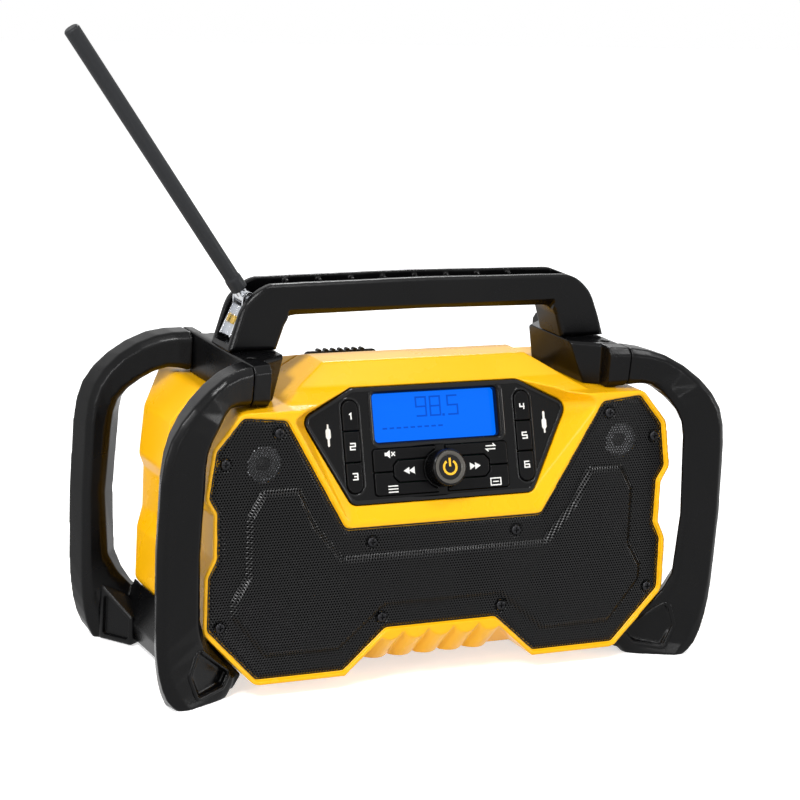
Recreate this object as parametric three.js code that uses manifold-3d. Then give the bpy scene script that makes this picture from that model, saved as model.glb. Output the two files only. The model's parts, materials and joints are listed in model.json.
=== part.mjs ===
// Jobsite radio: a two-pod speaker body slung in a moulded roll cage, with a
// carry handle, a fold-down aerial, a leaning control panel and a battery door.
// Millimetres. +X is to the right seen from the front, +Y to the back, +Z up.

import * as THREE from "three";
import { mergeVertices } from "three/addons/utils/BufferGeometryUtils.js";
import Module from "manifold-3d";

const wasm = await Module();
wasm.setup();

// Clearances and helpers' sizes
const seatGap = 0.3;
const slideGap = 0.35;
const overrun = 12;
const weldDistance = 1e-4;
const arcSteps = 3;
const arcRoomShare = 0.476;
const leastTurn = THREE.MathUtils.degToRad(9);
const circleSteps = 20;
const smallCircleSteps = 12;
const knobSteps = 48;

// Body: pods, hood, valley and walls
const bodyHalfWidth = 170.5;
const bodyHeight = 188;
const hoodRise = 24;
const hoodHeight = bodyHeight + hoodRise;
const faceLean = THREE.MathUtils.degToRad(2.6);
const faceAtGround = -77.6;
const lip = 3;
const lipProud = 1;
const bodyBack = 78;
const bodyBackChamfer = 5;
const backTaper = 22.5;
const backHalfWidth = bodyHalfWidth - backTaper;
const sideEnd = 49;
const bodyWall = 2.8;
const frontWall = 6;
const cornerRadius = 5;
const hoodShoulder = 56.5;
const hoodHalfBase = bodyHalfWidth - hoodShoulder;
const hoodSideRun = 38;
const hoodHalfTop = hoodHalfBase - hoodSideRun;
const hoodRootDrop = 38;
const hoodRoot = bodyHeight - hoodRootDrop;
const hoodFront = -28;
const hoodCrest = -3;
const browDepth = -41.5;
const browDrop = 13.5;
const cheekDepth = -69.5;
const cheekDrop = 2;
const bellyHeight = 13;
const bellyFront = -53;
const valleyBrink = -77;
const valleyBrinkDrop = 1.98;
const ribCount = 5;
const ribPitch = 19;
const ribRise = 4.5;
const housingSeam = 4;

// Shares of the body's half width and height, right half, from the bottom up
const valleyCornerShares = [0.243, 0.21];
const podSideShares = [
  [0.422, 0.067], [0.789, 0.067], [0.997, 0.261], [0.997, 0.449], [0.962, 0.513],
  [0.965, 0.673], [1, 0.726], [0.974, 0.888], [0.868, 1],
];
const podInnerTopShares = [0.689, 0.984];
const panelNotchShares = [0.428, 0.585];
const pocketTopShares = [0.42, 1.17];
const fieldShares = [
  [0.255, 0.29], [0.449, 0.144], [0.762, 0.146], [0.906, 0.303], [0.906, 0.364], [0.848, 0.447],
  [0.848, 0.654], [0.792, 0.747], [0.628, 0.747], [0.563, 0.617], [0.44, 0.489],
];

// Grille sheet
const sheet = 1.4;
const borderWidth = 4.5;
const borderDrop = 0.9;
const fieldRise = 3.5;
const fieldSlopeWidth = 4.5;
const holePitch = 12;
const holeRadius = 3.7;
const holeSides = 6;
const holeMargin = 7;

// Loudspeakers: the tweeter sits in the pod's upper outer corner and the woofer fills the room below it
const tweeterOpening = 12;
const tweeterFlange = 16;
const tweeterDepth = 12;
const tweeterInset = 37.5;
const tweeterX = bodyHalfWidth - tweeterInset;
const tweeterDrop = 31;
const tweeterHeight = bodyHeight - tweeterDrop;
const wooferInset = 60.5;
const wooferX = bodyHalfWidth - wooferInset;
const wooferHeight = 76;
const wooferMargin = 9.5;
const wooferFlange = Math.min(wooferInset - wooferMargin, tweeterHeight - tweeterFlange - wooferHeight);
const wooferSeat = 6.5;
const wooferOpening = wooferFlange - wooferSeat;
const wooferFlangeThickness = 3.6;
const wooferDepth = 46;
const magnetRadiusShare = 0.652;
const magnetRadius = magnetRadiusShare * wooferOpening;
const magnetDepth = 16;
const surroundWidth = 0.9;
const coneRadius = wooferOpening - surroundWidth;
const coneThroatShare = 0.448;
const coneThroat = coneThroatShare * magnetRadius;
const coneSkin = 1.2;

// Control panel: its frame leans back about the seek keys' row
const panelLean = THREE.MathUtils.degToRad(18.1);
const panelDepth = -62.3;
const panelDrop = 46.1;
const panelLevel = bodyHeight - panelDrop;
const panelInset = 70.5;
const panelHalfWidth = bodyHalfWidth - panelInset;
const panelHeight = 77.5;
const panelOutlineShares = [[0.68, -0.245], [1, 0.516], [0.625, 0.755]];
const panelCornerRadius = 7;
const bezelThickness = 4;
const bezelEdge = 0.8;
const bezelLedge = 2.4;
// Shares of the panel's half width
const columnShare = 0.645;
const windowShare = 0.465;
const clusterShare = 0.505;
const columnX = columnShare * panelHalfWidth;
const windowHalfWidth = windowShare * panelHalfWidth;
const windowBottom = 21.4;
const windowTop = 53.8;
const windowRadius = 2.5;
const windowFrameWall = 2;
const windowFrameDepth = 2.6;
const windowFlareWidth = 1.6;
const lensThickness = 1.5;
const displayThickness = 4.5;
const clusterHalfWidth = clusterShare * panelHalfWidth;
const clusterHalfHeight = 15.7;
const clusterLevel = 1.5;
const clusterNeck = 3.6;
const knobWell = 13.3;
const seekHalfHeight = 7.5;
const seekReachShare = 0.6102;
const seekReach = knobWell + seekReachShare * (clusterHalfWidth - knobWell);
const seekChamfer = 3.6;
const columnHalfWidth = 6.1;
const columnBottom = -11.4;
const columnTop = 50.7;
const presetsPerColumn = 3;
const keyRise = 1.2;
const keyEdge = 0.6;
const keyTravel = 0.8;
const keyFlange = 1.2;
const keyFlangeThickness = 1.2;
const keyStem = 1.6;
const switchGap = 0.95;
const switchHeight = 1.6;
const switchHalf = 2.6;
const boardThickness = 1.6;
const boardInset = 5.5;
const knobRadius = 12.5;
const knobHeight = 13.4;
const knobLift = 1.6;
const knobEdge = 1.4;
const shaftRadius = 3;
const shaftBoreClearance = 0.08;
const encoderHalf = 6.5;
const encoderHeight = 5;
const plungerRadius = 4.4;

// Roll cage, shoulders and handle
const cageReach = 39.5;
const cageHalfWidth = bodyHalfWidth + cageReach;
const cageHalfDepth = 88;
const cageOverHood = 8;
const cageHeight = hoodHeight + cageOverHood;
const seamInset = 70;
const seamX = cageHalfWidth - seamInset;
const barCornerShare = 0.17;
const barSubdivisions = 2;
const barEdges = 4;
// Shares of the cage's half width, half depth and height: outer front, outer
// back, inner back and inner front edge at each station from shoulder to foot
const barStationShares = [
  [[0.543, 0.648, 0.995], [0.543, 0.375, 0.995], [0.543, 0.375, 0.855], [0.543, 0.648, 0.855]],
  [[0.671, 0.75, 0.998], [0.671, 0.466, 0.998], [0.671, 0.455, 0.877], [0.671, 0.727, 0.877]],
  [[0.78, 0.864, 0.979], [0.765, 0.568, 0.981], [0.732, 0.534, 0.882], [0.75, 0.818, 0.882]],
  [[0.896, 0.966, 0.905], [0.872, 0.682, 0.918], [0.816, 0.636, 0.838], [0.79, 0.909, 0.838]],
  [[0.973, 1, 0.814], [0.942, 0.739, 0.824], [0.886, 0.705, 0.771], [0.824, 0.943, 0.771]],
  [[1, 1, 0.691], [0.967, 0.75, 0.705], [0.905, 0.727, 0.678], [0.831, 0.955, 0.67]],
  [[1, 1, 0.255], [0.967, 0.75, 0.255], [0.9, 0.727, 0.273], [0.831, 0.955, 0.273]],
  [[0.983, 1, 0.123], [0.96, 0.75, 0.123], [0.819, 0.705, 0.173], [0.786, 0.864, 0.173]],
  [[0.948, 1, 0.036], [0.945, 0.75, 0.041], [0.681, 0.682, 0.055], [0.695, 0.761, 0.055]],
  [[0.905, 0.994, 0], [0.931, 0.75, 0], [0.714, 0.705, 0], [0.729, 0.807, 0]],
];
const crossbarInset = 34;
const crossbarOuter = cageHalfWidth - crossbarInset;
const crossbarClearance = 3.5;
const crossbarOverlap = 1.96;
const crossbarInnerShare = 0.1;
const crossbarOuterShare = 0.86;
const crossbarCreaseHeight = 17;
const footWebAngle = THREE.MathUtils.degToRad(27.8);
const footWebInset = 20;
const footRecessDepth = 4;
// Shares of the cage's half width and height
const footRecessShares = [[0.743, 0.045], [0.833, 0.032], [0.862, 0.1], [0.838, 0.168], [0.719, 0.077]];
const innerRecessShares = [[0.867, 0.032], [0.943, 0.041], [0.952, 0.123], [0.924, 0.164]];
const innerRecessInset = 26;
const shoulderDepth = 36;
const shoulderEdge = 2;
const shoulderPlanRadius = 4;
const frontCapLength = 14;
const backCapLength = 7;
// Shares of the cage's half width and half depth, seen from above
const shoulderPlanShares = [
  [0.7, -0.545], [0.7, 0.545], [0.633, 0.51], [0.45, 0.14], [0.45, -0.31], [0.6, -0.545],
];
const handleOverSeam = 1.5;
const handleHalfWidth = seamX + handleOverSeam;
const handleRise = 45.3;
const handleHalfDepth = 16.8;
const handleCentre = -7.7;
const handleEdge = 2.2;
const handleCorner = 9;
// Shares of the handle's half width and rise over the shoulders; the grip bows up a little
const gripInner = [0.708, 0.492];
const gripInnerFoot = [0.759, 0];
const handleOuterShares = [[1, 0], [0.935, 0.7], [0.835, 0.97]];
const gripCrownShare = 0.523;
const gripChamfer = 5;
const channelHalfWidth = 11;
const channelRise = 27.2;
const channelFloor = cageHeight + channelRise;
const channelEndInset = 30.5;
const channelRibs = 8;
const channelRibStartInset = 49.5;
const channelRibEndInset = 65.5;
const channelRibWidth = 2.5;
const channelRibGap = 6.6;
const channelRibDrop = 3;
const slotFootInset = 8.5;
const slotFootRise = 4.5;
const slotHeadInset = 18;
const screwDimpleRadius = 3.4;
const screwDimpleDepth = 5;
const screwDimpleInset = 7.5;
const screwDimpleY = 40.5;

// Aerial
const pivotInset = 16.4;
const pivotX = pivotInset - handleHalfWidth;
const pivotRise = 6.3;
const pivotHeight = channelFloor + pivotRise;
const aerialTilt = THREE.MathUtils.degToRad(35.6);
const mastBase = 6.6;
const mastReach = 213.5;
const mastBaseRadius = 5.7;
const mastTipRadius = 5.35;
const mastCollar = 9;
const mastTipRound = 1.2;
const socketRadius = 3.9;
const socketDepth = 8;
const neckRadius = 3.6;
const eyeRadius = 4.6;
const eyeHalfLength = 6.9;
const pinRadius = 2;
const pinClearance = 0.08;
const earInner = 7.2;
const earThickness = 1.5;
const earRadius = 5;
const earArcDegrees = [-80, -20, 40, 100, 160];
const bracketStrip = 1.5;
const bracketLow = 2;
const bracketHigh = 23;
const bracketReach = 6.5;
const brassHeadRadius = 3;
const brassHeadHeight = 2.2;
const brassShankRadius = 1.5;
const brassShankLength = 5;
const brassAlong = 13;
const brassOffset = 3;

// Battery bay, its door and latch; all keep to one centre line
const bayX = -12;
const bayHalfWidth = 52;
const bayBottom = 66;
const bayDrop = 5;
const bayTop = bodyHeight - bayDrop;
const bayFront = 16;
const bayWall = 2.4;
const doorHalfWidth = 58;
const doorUnderBay = 13.4;
const doorBottom = bayBottom - doorUnderBay;
const doorOverBay = 4;
const doorTop = bayTop + doorOverBay;
const doorThickness = 3.1;
const doorProud = 0.4;
const frameDepth = 6.4;
const frameUnderBay = 22;
const frameBottom = bayBottom - frameUnderBay;
const frameHalfWidth = 62;
const doorRibs = 5;
const doorRibPitch = 17;
const doorRibHalfWidth = 1;
const doorRibDepth = 3;
const hingeProud = 1;
const hingeY = bodyBack + hingeProud;
const hingeUnderDoor = 2.1;
const hingeZ = doorBottom - hingeUnderDoor;
const knuckleRadius = 3.4;
const hingePinRadius = 1.5;
const hingePinClearance = 0.08;
const hingeRelief = 5;
const hingeHalfLength = 40;
const lugLength = 8;
const latchHalfWidth = 28;
const latchUnderBay = 7;
const latchBottom = bayTop - latchUnderBay;
const latchOverBay = 10.5;
const latchTop = bayTop + latchOverBay;
const latchThickness = 2.6;
const latchRidges = 5;
const latchRidgePitch = 11;
const latchRidgeRadius = 3.4;
const latchTongueHalfWidth = 9;
const latchTongueThickness = 2.4;
const latchTongueReach = 8.5;
const latchTravel = 4;
const latchClearance = 0.9;
const terminalHalfWidth = 30;
const terminalHeight = 22;
const terminalThickness = 12;
const terminalBladeHalf = 0.8;
const terminalBladePitch = 9;
const terminalBlades = 5;
const terminalBladeLength = 22;
const terminalBladeDepth = 7;

// Main board behind the controls, and the power inlet low on the back
const mainBoardHalfWidth = 52;
const mainBoardRise = 6;
const mainBoardBottom = bayBottom + mainBoardRise;
const mainBoardDrop = 33;
const mainBoardTop = bayTop - mainBoardDrop;
const mainBoardStandoff = 5;
const heatSinkFins = 6;
const heatSinkPitch = 4.5;
const heatSinkFin = 1.6;
const heatSinkHeight = 40;
const heatSinkDepth = 9;
const postRadius = 3;
const inletInset = 52;
const inletX = backHalfWidth - inletInset;
const inletHeight = 34;
const inletRadius = 5.5;
const inletFlangeRadius = 8;
const inletFlangeThickness = 1.6;
const inletLength = 14;
const inletBore = 3.2;
const inletPin = 1;

const aerialReach = -pivotX + mastReach * Math.sin(aerialTilt) + (mastTipRadius - mastTipRound) * Math.cos(aerialTilt);
const groupShift = (aerialReach - cageHalfWidth) / 2;

// Materials
function plastic(color, roughness, metalness = 0) {
  return new THREE.MeshStandardMaterial({ color, roughness, metalness });
}
const yellow = plastic(0xfdb913, 0.45);
const black = plastic(0x1b1b1c, 0.5);
const darkGrey = plastic(0x323234, 0.55);
const keyBlack = plastic(0x242426, 0.6);
const sheetBlack = plastic(0x141414, 0.5, 0.4);
const steel = plastic(0xb9bcc0, 0.3, 1);
const brass = plastic(0xcfa14a, 0.3, 1);
const boardGreen = plastic(0x1d5a3a, 0.6);
const lensBlue = plastic(0x2a78ff, 0.15);
const paper = plastic(0x202022, 0.9);

// Closed solid through rings of points, with a flat cap at each end
function capTriangles(ring) {
  const normal = new THREE.Vector3();
  ring.forEach((a, i) => {
    const b = ring[(i + 1) % ring.length];
    normal.add(new THREE.Vector3().crossVectors(a, b));
  });
  const axes = ["x", "y", "z"];
  const sizes = axes.map((axis) => Math.abs(normal[axis]));
  const drop = sizes.indexOf(Math.max(...sizes));
  const first = axes[(drop + 1) % axes.length];
  const second = axes[(drop + 2) % axes.length];
  const flat = ring.map((p) => new THREE.Vector2(p[first], p[second]));
  const ringTurn = Math.sign(THREE.ShapeUtils.area(flat));
  return THREE.ShapeUtils.triangulateShape(flat, []).map((face) => {
    const turn = Math.sign(THREE.ShapeUtils.area(face.map((i) => flat[i])));
    return turn === ringTurn ? face : [face[0], face[2], face[1]];
  });
}

function loft(rings) {
  const count = rings[0].length;
  const index = [];
  for (let r = 0; r + 1 < rings.length; r += 1) {
    for (let i = 0; i < count; i += 1) {
      const a = r * count + i;
      const b = r * count + ((i + 1) % count);
      index.push(a, b, b + count, a, b + count, a + count);
    }
  }
  const last = (rings.length - 1) * count;
  capTriangles(rings[0]).forEach(([a, b, c]) => index.push(a, c, b));
  capTriangles(rings[rings.length - 1]).forEach(([a, b, c]) => index.push(last + a, last + b, last + c));
  const geometry = new THREE.BufferGeometry().setFromPoints(rings.flat());
  geometry.setIndex(index);
  return geometry;
}

// Solid of a geometry: equal points welded, faces turned outward
function solidOf(geometry) {
  const plain = new THREE.BufferGeometry();
  plain.setAttribute("position", geometry.getAttribute("position"));
  if (geometry.index) plain.setIndex(geometry.index);
  const welded = mergeVertices(plain, weldDistance);
  const points = welded.getAttribute("position").array;
  const corners = welded.index.array;
  const at = (i) => new THREE.Vector3(points[i * 3], points[i * 3 + 1], points[i * 3 + 2]);
  const faces = [];
  let volume = 0;
  for (let i = 0; i < corners.length; i += 3) {
    const [a, b, c] = [corners[i], corners[i + 1], corners[i + 2]];
    if (a === b || b === c || a === c) continue;
    faces.push([a, b, c]);
    volume += at(a).dot(at(b).cross(at(c)));
  }
  const triVerts = new Uint32Array(faces.flatMap(([a, b, c]) => (volume < 0 ? [a, c, b] : [a, b, c])));
  return new wasm.Manifold(new wasm.Mesh({ numProp: 3, vertProperties: new Float32Array(points), triVerts }));
}

function geometryOf(solid) {
  const mesh = solid.getMesh();
  const geometry = new THREE.BufferGeometry();
  geometry.setAttribute("position", new THREE.BufferAttribute(new Float32Array(mesh.vertProperties), 3));
  geometry.setIndex(new THREE.BufferAttribute(new Uint32Array(mesh.triVerts), 1));
  return geometry;
}

function moved(solid, matrix) {
  return solidOf(geometryOf(solid).applyMatrix4(matrix));
}

function mirrored(solid, x, y) {
  return moved(solid, new THREE.Matrix4().makeScale(x, y, 1));
}

function joined(...solids) {
  return solids.reduce((sum, solid) => sum.add(solid));
}

// Outlines are lists of [across, up, corner radius], counterclockwise
function fromShares(shares, width, height, radius = 0) {
  return shares.map(([across, up]) => [across * width, up * height, radius]);
}

function bothSides(half) {
  const other = half.filter(([x]) => x !== 0).map(([x, y, r]) => [-x, y, r]).reverse();
  return [...half, ...other];
}

function inset(points, distance) {
  return points.map(([x, y, r = 0], i) => {
    const p = new THREE.Vector2(x, y);
    const before = points[(i + points.length - 1) % points.length];
    const after = points[(i + 1) % points.length];
    const inEdge = p.clone().sub(new THREE.Vector2(before[0], before[1])).normalize();
    const outEdge = new THREE.Vector2(after[0], after[1]).sub(p).normalize();
    const left = new THREE.Vector2(-inEdge.y, inEdge.x);
    const right = new THREE.Vector2(-outEdge.y, outEdge.x);
    const shift = left.clone().add(right).multiplyScalar(distance / (1 + left.dot(right)));
    const turn = Math.sign(inEdge.cross(outEdge));
    const radius = r > 0 ? Math.max(r - turn * distance, r / arcSteps) : 0;
    return [x + shift.x, y + shift.y, radius];
  });
}

// Corners with a radius become arcs of equal steps, unless they hardly turn
function rounded(points) {
  return points.flatMap(([x, y, r = 0], i) => {
    if (r <= 0) return [new THREE.Vector2(x, y)];
    const p = new THREE.Vector2(x, y);
    const before = points[(i + points.length - 1) % points.length];
    const after = points[(i + 1) % points.length];
    const toBefore = new THREE.Vector2(before[0], before[1]).sub(p);
    const toAfter = new THREE.Vector2(after[0], after[1]).sub(p);
    const room = Math.min(toBefore.length(), toAfter.length()) * arcRoomShare;
    toBefore.normalize();
    toAfter.normalize();
    const half = Math.acos(THREE.MathUtils.clamp(toBefore.dot(toAfter), -1, 1)) / 2;
    if (Math.PI - half * 2 < leastTurn) return [p];
    const run = Math.min(r / Math.tan(half), room);
    const start = p.clone().addScaledVector(toBefore, run);
    const end = p.clone().addScaledVector(toAfter, run);
    const weight = Math.sin(half);
    const arc = [];
    for (let step = 0; step <= arcSteps; step += 1) {
      const t = step / arcSteps;
      const a = (1 - t) * (1 - t);
      const b = 2 * t * (1 - t) * weight;
      const c = t * t;
      arc.push(new THREE.Vector2(
        (a * start.x + b * p.x + c * end.x) / (a + b + c),
        (a * start.y + b * p.y + c * end.y) / (a + b + c),
      ));
    }
    return arc;
  });
}

function shrunkRing(ring, distance) {
  const points = ring.map((p) => [p.x, p.y, 0]);
  return inset(points, distance).map(([x, y]) => new THREE.Vector2(x, y));
}

// Slab of an outline between two levels, with an optional chamfer at each end
function slab(points, low, high, topEdge = 0, bottomEdge = 0) {
  const ring = rounded(points);
  const level = (flat, z) => flat.map((p) => new THREE.Vector3(p.x, p.y, z));
  const rings = [];
  if (bottomEdge > 0) rings.push(level(shrunkRing(ring, bottomEdge), low));
  rings.push(level(ring, low + bottomEdge));
  rings.push(level(ring, high - topEdge));
  if (topEdge > 0) rings.push(level(shrunkRing(ring, topEdge), high));
  return solidOf(loft(rings));
}

const acrossUpToFront = new THREE.Matrix4().makeRotationX(Math.PI / 2);
const depthUpToSide = new THREE.Matrix4().set(0, 0, 1, 0, 1, 0, 0, 0, 0, 1, 0, 0, 0, 0, 0, 1);

// An outline in (x, z) swept along Y, and one in (y, z) swept along X
function alongY(points, front, back, edge = 0) {
  return moved(slab(points, -back, -front, edge, edge), acrossUpToFront);
}

function alongX(points, left, right, edge = 0) {
  return moved(slab(points, left, right, edge, edge), depthUpToSide);
}

function box(x0, x1, y0, y1, z0, z1) {
  return slab([[x0, y0], [x1, y0], [x1, y1], [x0, y1]], z0, z1);
}

function cylinder(radius, low, high, steps = circleSteps) {
  const geometry = new THREE.CylinderGeometry(radius, radius, high - low, steps);
  geometry.rotateX(Math.PI / 2);
  geometry.translate(0, 0, (low + high) / 2);
  return solidOf(geometry);
}

// Revolved about Z: the profile is a list of [radius, level] that starts and ends on the axis
function revolve(profile, steps = circleSteps) {
  const geometry = new THREE.LatheGeometry(profile.map(([r, z]) => new THREE.Vector2(r, z)), steps);
  geometry.rotateX(Math.PI / 2);
  return solidOf(geometry);
}

function shifted(solid, x, y, z) {
  return moved(solid, new THREE.Matrix4().makeTranslation(x, y, z));
}

function cylinderX(radius, x0, x1, y, z, steps = circleSteps) {
  const turn = new THREE.Matrix4().makeRotationY(Math.PI / 2).setPosition(0, y, z);
  return moved(cylinder(radius, x0, x1, steps), turn);
}

function cylinderY(radius, y0, y1, x, z, steps = circleSteps) {
  const turn = new THREE.Matrix4().makeRotationX(-Math.PI / 2).setPosition(x, 0, z);
  return moved(cylinder(radius, y0, y1, steps), turn);
}

// Frames of the leaning faces: x across, y up the face, z outward
const faceFrame = new THREE.Matrix4().makeRotationX(Math.PI / 2 - faceLean).setPosition(0, faceAtGround, 0);
const panelFrame = new THREE.Matrix4()
  .makeRotationX(Math.PI / 2 - panelLean)
  .setPosition(0, panelDepth, panelLevel);

const radio = new THREE.Group();
radio.position.x = groupShift;
const face = new THREE.Group();
face.rotation.x = Math.PI / 2 - faceLean;
face.position.y = faceAtGround;
const panel = new THREE.Group();
panel.rotation.x = Math.PI / 2 - panelLean;
panel.position.set(0, panelDepth, panelLevel);
const aerial = new THREE.Group();
aerial.rotation.y = -aerialTilt;
aerial.position.set(pivotX, handleCentre, pivotHeight);
radio.add(face, panel, aerial);

function addPiece(name, solid, material, parent = radio) {
  const geometry = geometryOf(solid).toNonIndexed();
  geometry.computeVertexNormals();
  const mesh = new THREE.Mesh(geometry, material);
  mesh.name = name;
  parent.add(mesh);
}

// Body outlines
function bodyPoint(shares) {
  return [shares[0] * bodyHalfWidth, shares[1] * bodyHeight, cornerRadius];
}
const podSide = podSideShares.map(bodyPoint);
const valleyCorner = bodyPoint(valleyCornerShares);
const podInnerTop = bodyPoint(podInnerTopShares);
const panelNotch = bodyPoint(panelNotchShares);
const grilleOutline = bothSides([valleyCorner, ...podSide, podInnerTop, panelNotch]);
const fieldOutline = bothSides(fieldShares.map(bodyPoint));
const bodyOutline = inset(bothSides(podSide), -lip);
const bodyTop = bodyHeight + lip;
const bodySide = bodyHalfWidth + lip;
const bodyBottom = podSide[0][1] - lip;

function faceDepth(height) {
  return faceAtGround - lipProud + height * Math.tan(faceLean);
}

// Window outline, and the lowest place of a key's flange in the columns
const windowOutline = [
  [-windowHalfWidth, windowBottom, windowRadius], [windowHalfWidth, windowBottom, windowRadius],
  [windowHalfWidth, windowTop, windowRadius], [-windowHalfWidth, windowTop, windowRadius],
];
const presetHeight = (columnTop - columnBottom) / presetsPerColumn;
const flangeLow = columnBottom + presetHeight / 4 - slideGap;

// Panel and pocket outlines, in the panel's own frame and on the front face
const bezelOutline = bothSides(fromShares(panelOutlineShares, panelHalfWidth, panelHeight, panelCornerRadius));
const pocketOutline = inset(
  bothSides([panelNotch, podInnerTop, bodyPoint(pocketTopShares)]).map(([x, y]) => [x, y, panelCornerRadius]),
  lip,
);

function pocket(grow) {
  const seat = rounded(inset(bezelOutline, -seatGap - grow));
  const mouth = rounded(inset(pocketOutline, -grow));
  const inPanel = (p, z) => new THREE.Vector3(p.x, p.y, z - grow).applyMatrix4(panelFrame);
  const inFront = (p, out) => new THREE.Vector3(p.x, faceDepth(p.y) + grow - out, p.y);
  return solidOf(loft([
    seat.map((p) => inPanel(p, -bezelThickness - seatGap)),
    seat.map((p) => inPanel(p, 0)),
    mouth.map((p) => inFront(p, 0)),
    mouth.map((p) => inFront(p, overrun + grow)),
  ]));
}

// Valley under the middle: a trapezium between the pods, cut up to a slanted roof
function valley(grow) {
  const [cornerX, cornerZ] = valleyCorner;
  const [footX, footZ] = podSide[0];
  const slope = (footX - cornerX) / (cornerZ - footZ);
  const low = -overrun;
  const half = [[cornerX + slope * (cornerZ - low), low], [cornerX, cornerZ]];
  const mouth = alongY(inset(bothSides(half), lip - grow), -cageHalfDepth - overrun, bodyBack + overrun);
  const brinkHeight = cornerZ - valleyBrinkDrop;
  const rise = (brinkHeight - bellyHeight) / (bellyFront - valleyBrink);
  const front = valleyBrink - overrun;
  const roof = [
    [front, low],
    [bodyBack + overrun, low],
    [bodyBack + overrun, bellyHeight],
    [bellyFront, bellyHeight],
    [front, bellyHeight + rise * (bellyFront - front)],
  ];
  return mouth.intersect(alongX(inset(roof, -grow), -bodySide, bodySide));
}

function bodyForm(shrink) {
  const reach = cageHalfDepth + overrun;
  const frontShift = shrink > 0 ? frontWall - shrink : 0;
  const low = bodyBottom - overrun;
  const high = bodyTop + overrun;
  const side = inset([
    [faceDepth(low) + frontShift, low],
    [bodyBack - bodyBackChamfer - overrun, low],
    [bodyBack, bodyBottom + bodyBackChamfer],
    [bodyBack, bodyTop - bodyBackChamfer],
    [bodyBack - bodyBackChamfer - overrun, high],
    [faceDepth(high) + frontShift, high],
  ], shrink);
  const taper = (bodySide - backHalfWidth) / (bodyBack - sideEnd);
  const plan = inset(bothSides([
    [bodySide, -reach],
    [bodySide, sideEnd],
    [backHalfWidth - taper * overrun, bodyBack + overrun],
  ]), shrink);
  const hoodFrontView = bothSides([[hoodHalfBase, hoodRoot], [hoodHalfBase, bodyTop - lipProud], [hoodHalfTop, hoodHeight]]);
  const hoodSideView = [
    [faceDepth(hoodRoot) + overrun, hoodRoot],
    [bodyBack - bodyBackChamfer, hoodRoot],
    [bodyBack - bodyBackChamfer, bodyTop],
    [hoodCrest, hoodHeight],
    [hoodFront, hoodHeight],
    [browDepth, hoodHeight - browDrop],
    [cheekDepth, bodyHeight - cheekDrop],
  ];
  const planSolid = slab(plan, low, hoodHeight + overrun);
  const main = alongY(inset(bodyOutline, shrink), -reach, reach).intersect(alongX(side, -reach * 2, reach * 2));
  const hood = alongY(inset(hoodFrontView, shrink), -reach, reach)
    .intersect(alongX(inset(hoodSideView, shrink), -reach * 2, reach * 2));
  return joined(main, hood).intersect(planSolid).subtract(pocket(Math.max(shrink, 0))).subtract(valley(shrink));
}

// Rounded ribs down the slanted roof of the valley
function valleyRibs() {
  const run = bellyFront - valleyBrink;
  const brinkHeight = valleyCorner[1] - valleyBrinkDrop;
  const drop = brinkHeight - bellyHeight;
  const length = Math.hypot(run, drop);
  const angle = Math.atan2(run, drop);
  const radius = (ribPitch * ribPitch) / (8 * ribRise) + ribRise / 2;
  const depth = radius - ribRise;
  const middleY = (bellyFront + valleyBrink) / 2 + depth * Math.cos(angle);
  const middleZ = (brinkHeight + bellyHeight) / 2 + depth * Math.sin(angle);
  const ribs = [];
  for (let i = 0; i < ribCount; i += 1) {
    const x = (i - (ribCount - 1) / 2) * ribPitch;
    const lean = new THREE.Matrix4().makeRotationX(angle).setPosition(x, middleY, middleZ);
    ribs.push(moved(cylinder(radius, -length, length), lean));
  }
  const clip = alongX([
    [faceDepth(bellyHeight - lipProud), bellyHeight - lipProud],
    [bellyFront, bellyHeight - lipProud],
    [bellyFront, valleyCorner[1]],
    [faceDepth(valleyCorner[1]), valleyCorner[1]],
  ], -valleyCorner[0] - ribPitch / 2, valleyCorner[0] + ribPitch / 2);
  return joined(...ribs).intersect(clip);
}

// Battery bay and door sizes that several pieces share
const doorFloor = bodyBack + doorProud - doorThickness - seatGap;
const bayLeft = bayX - bayHalfWidth;
const bayRight = bayX + bayHalfWidth;

function hingeLugs(radius, grow) {
  const outer = hingeHalfLength + grow;
  const inner = hingeHalfLength - lugLength - grow;
  return joined(
    cylinderX(radius, bayX - outer, bayX - inner, hingeY, hingeZ),
    cylinderX(radius, bayX + inner, bayX + outer, hingeY, hingeZ),
  );
}

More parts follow.
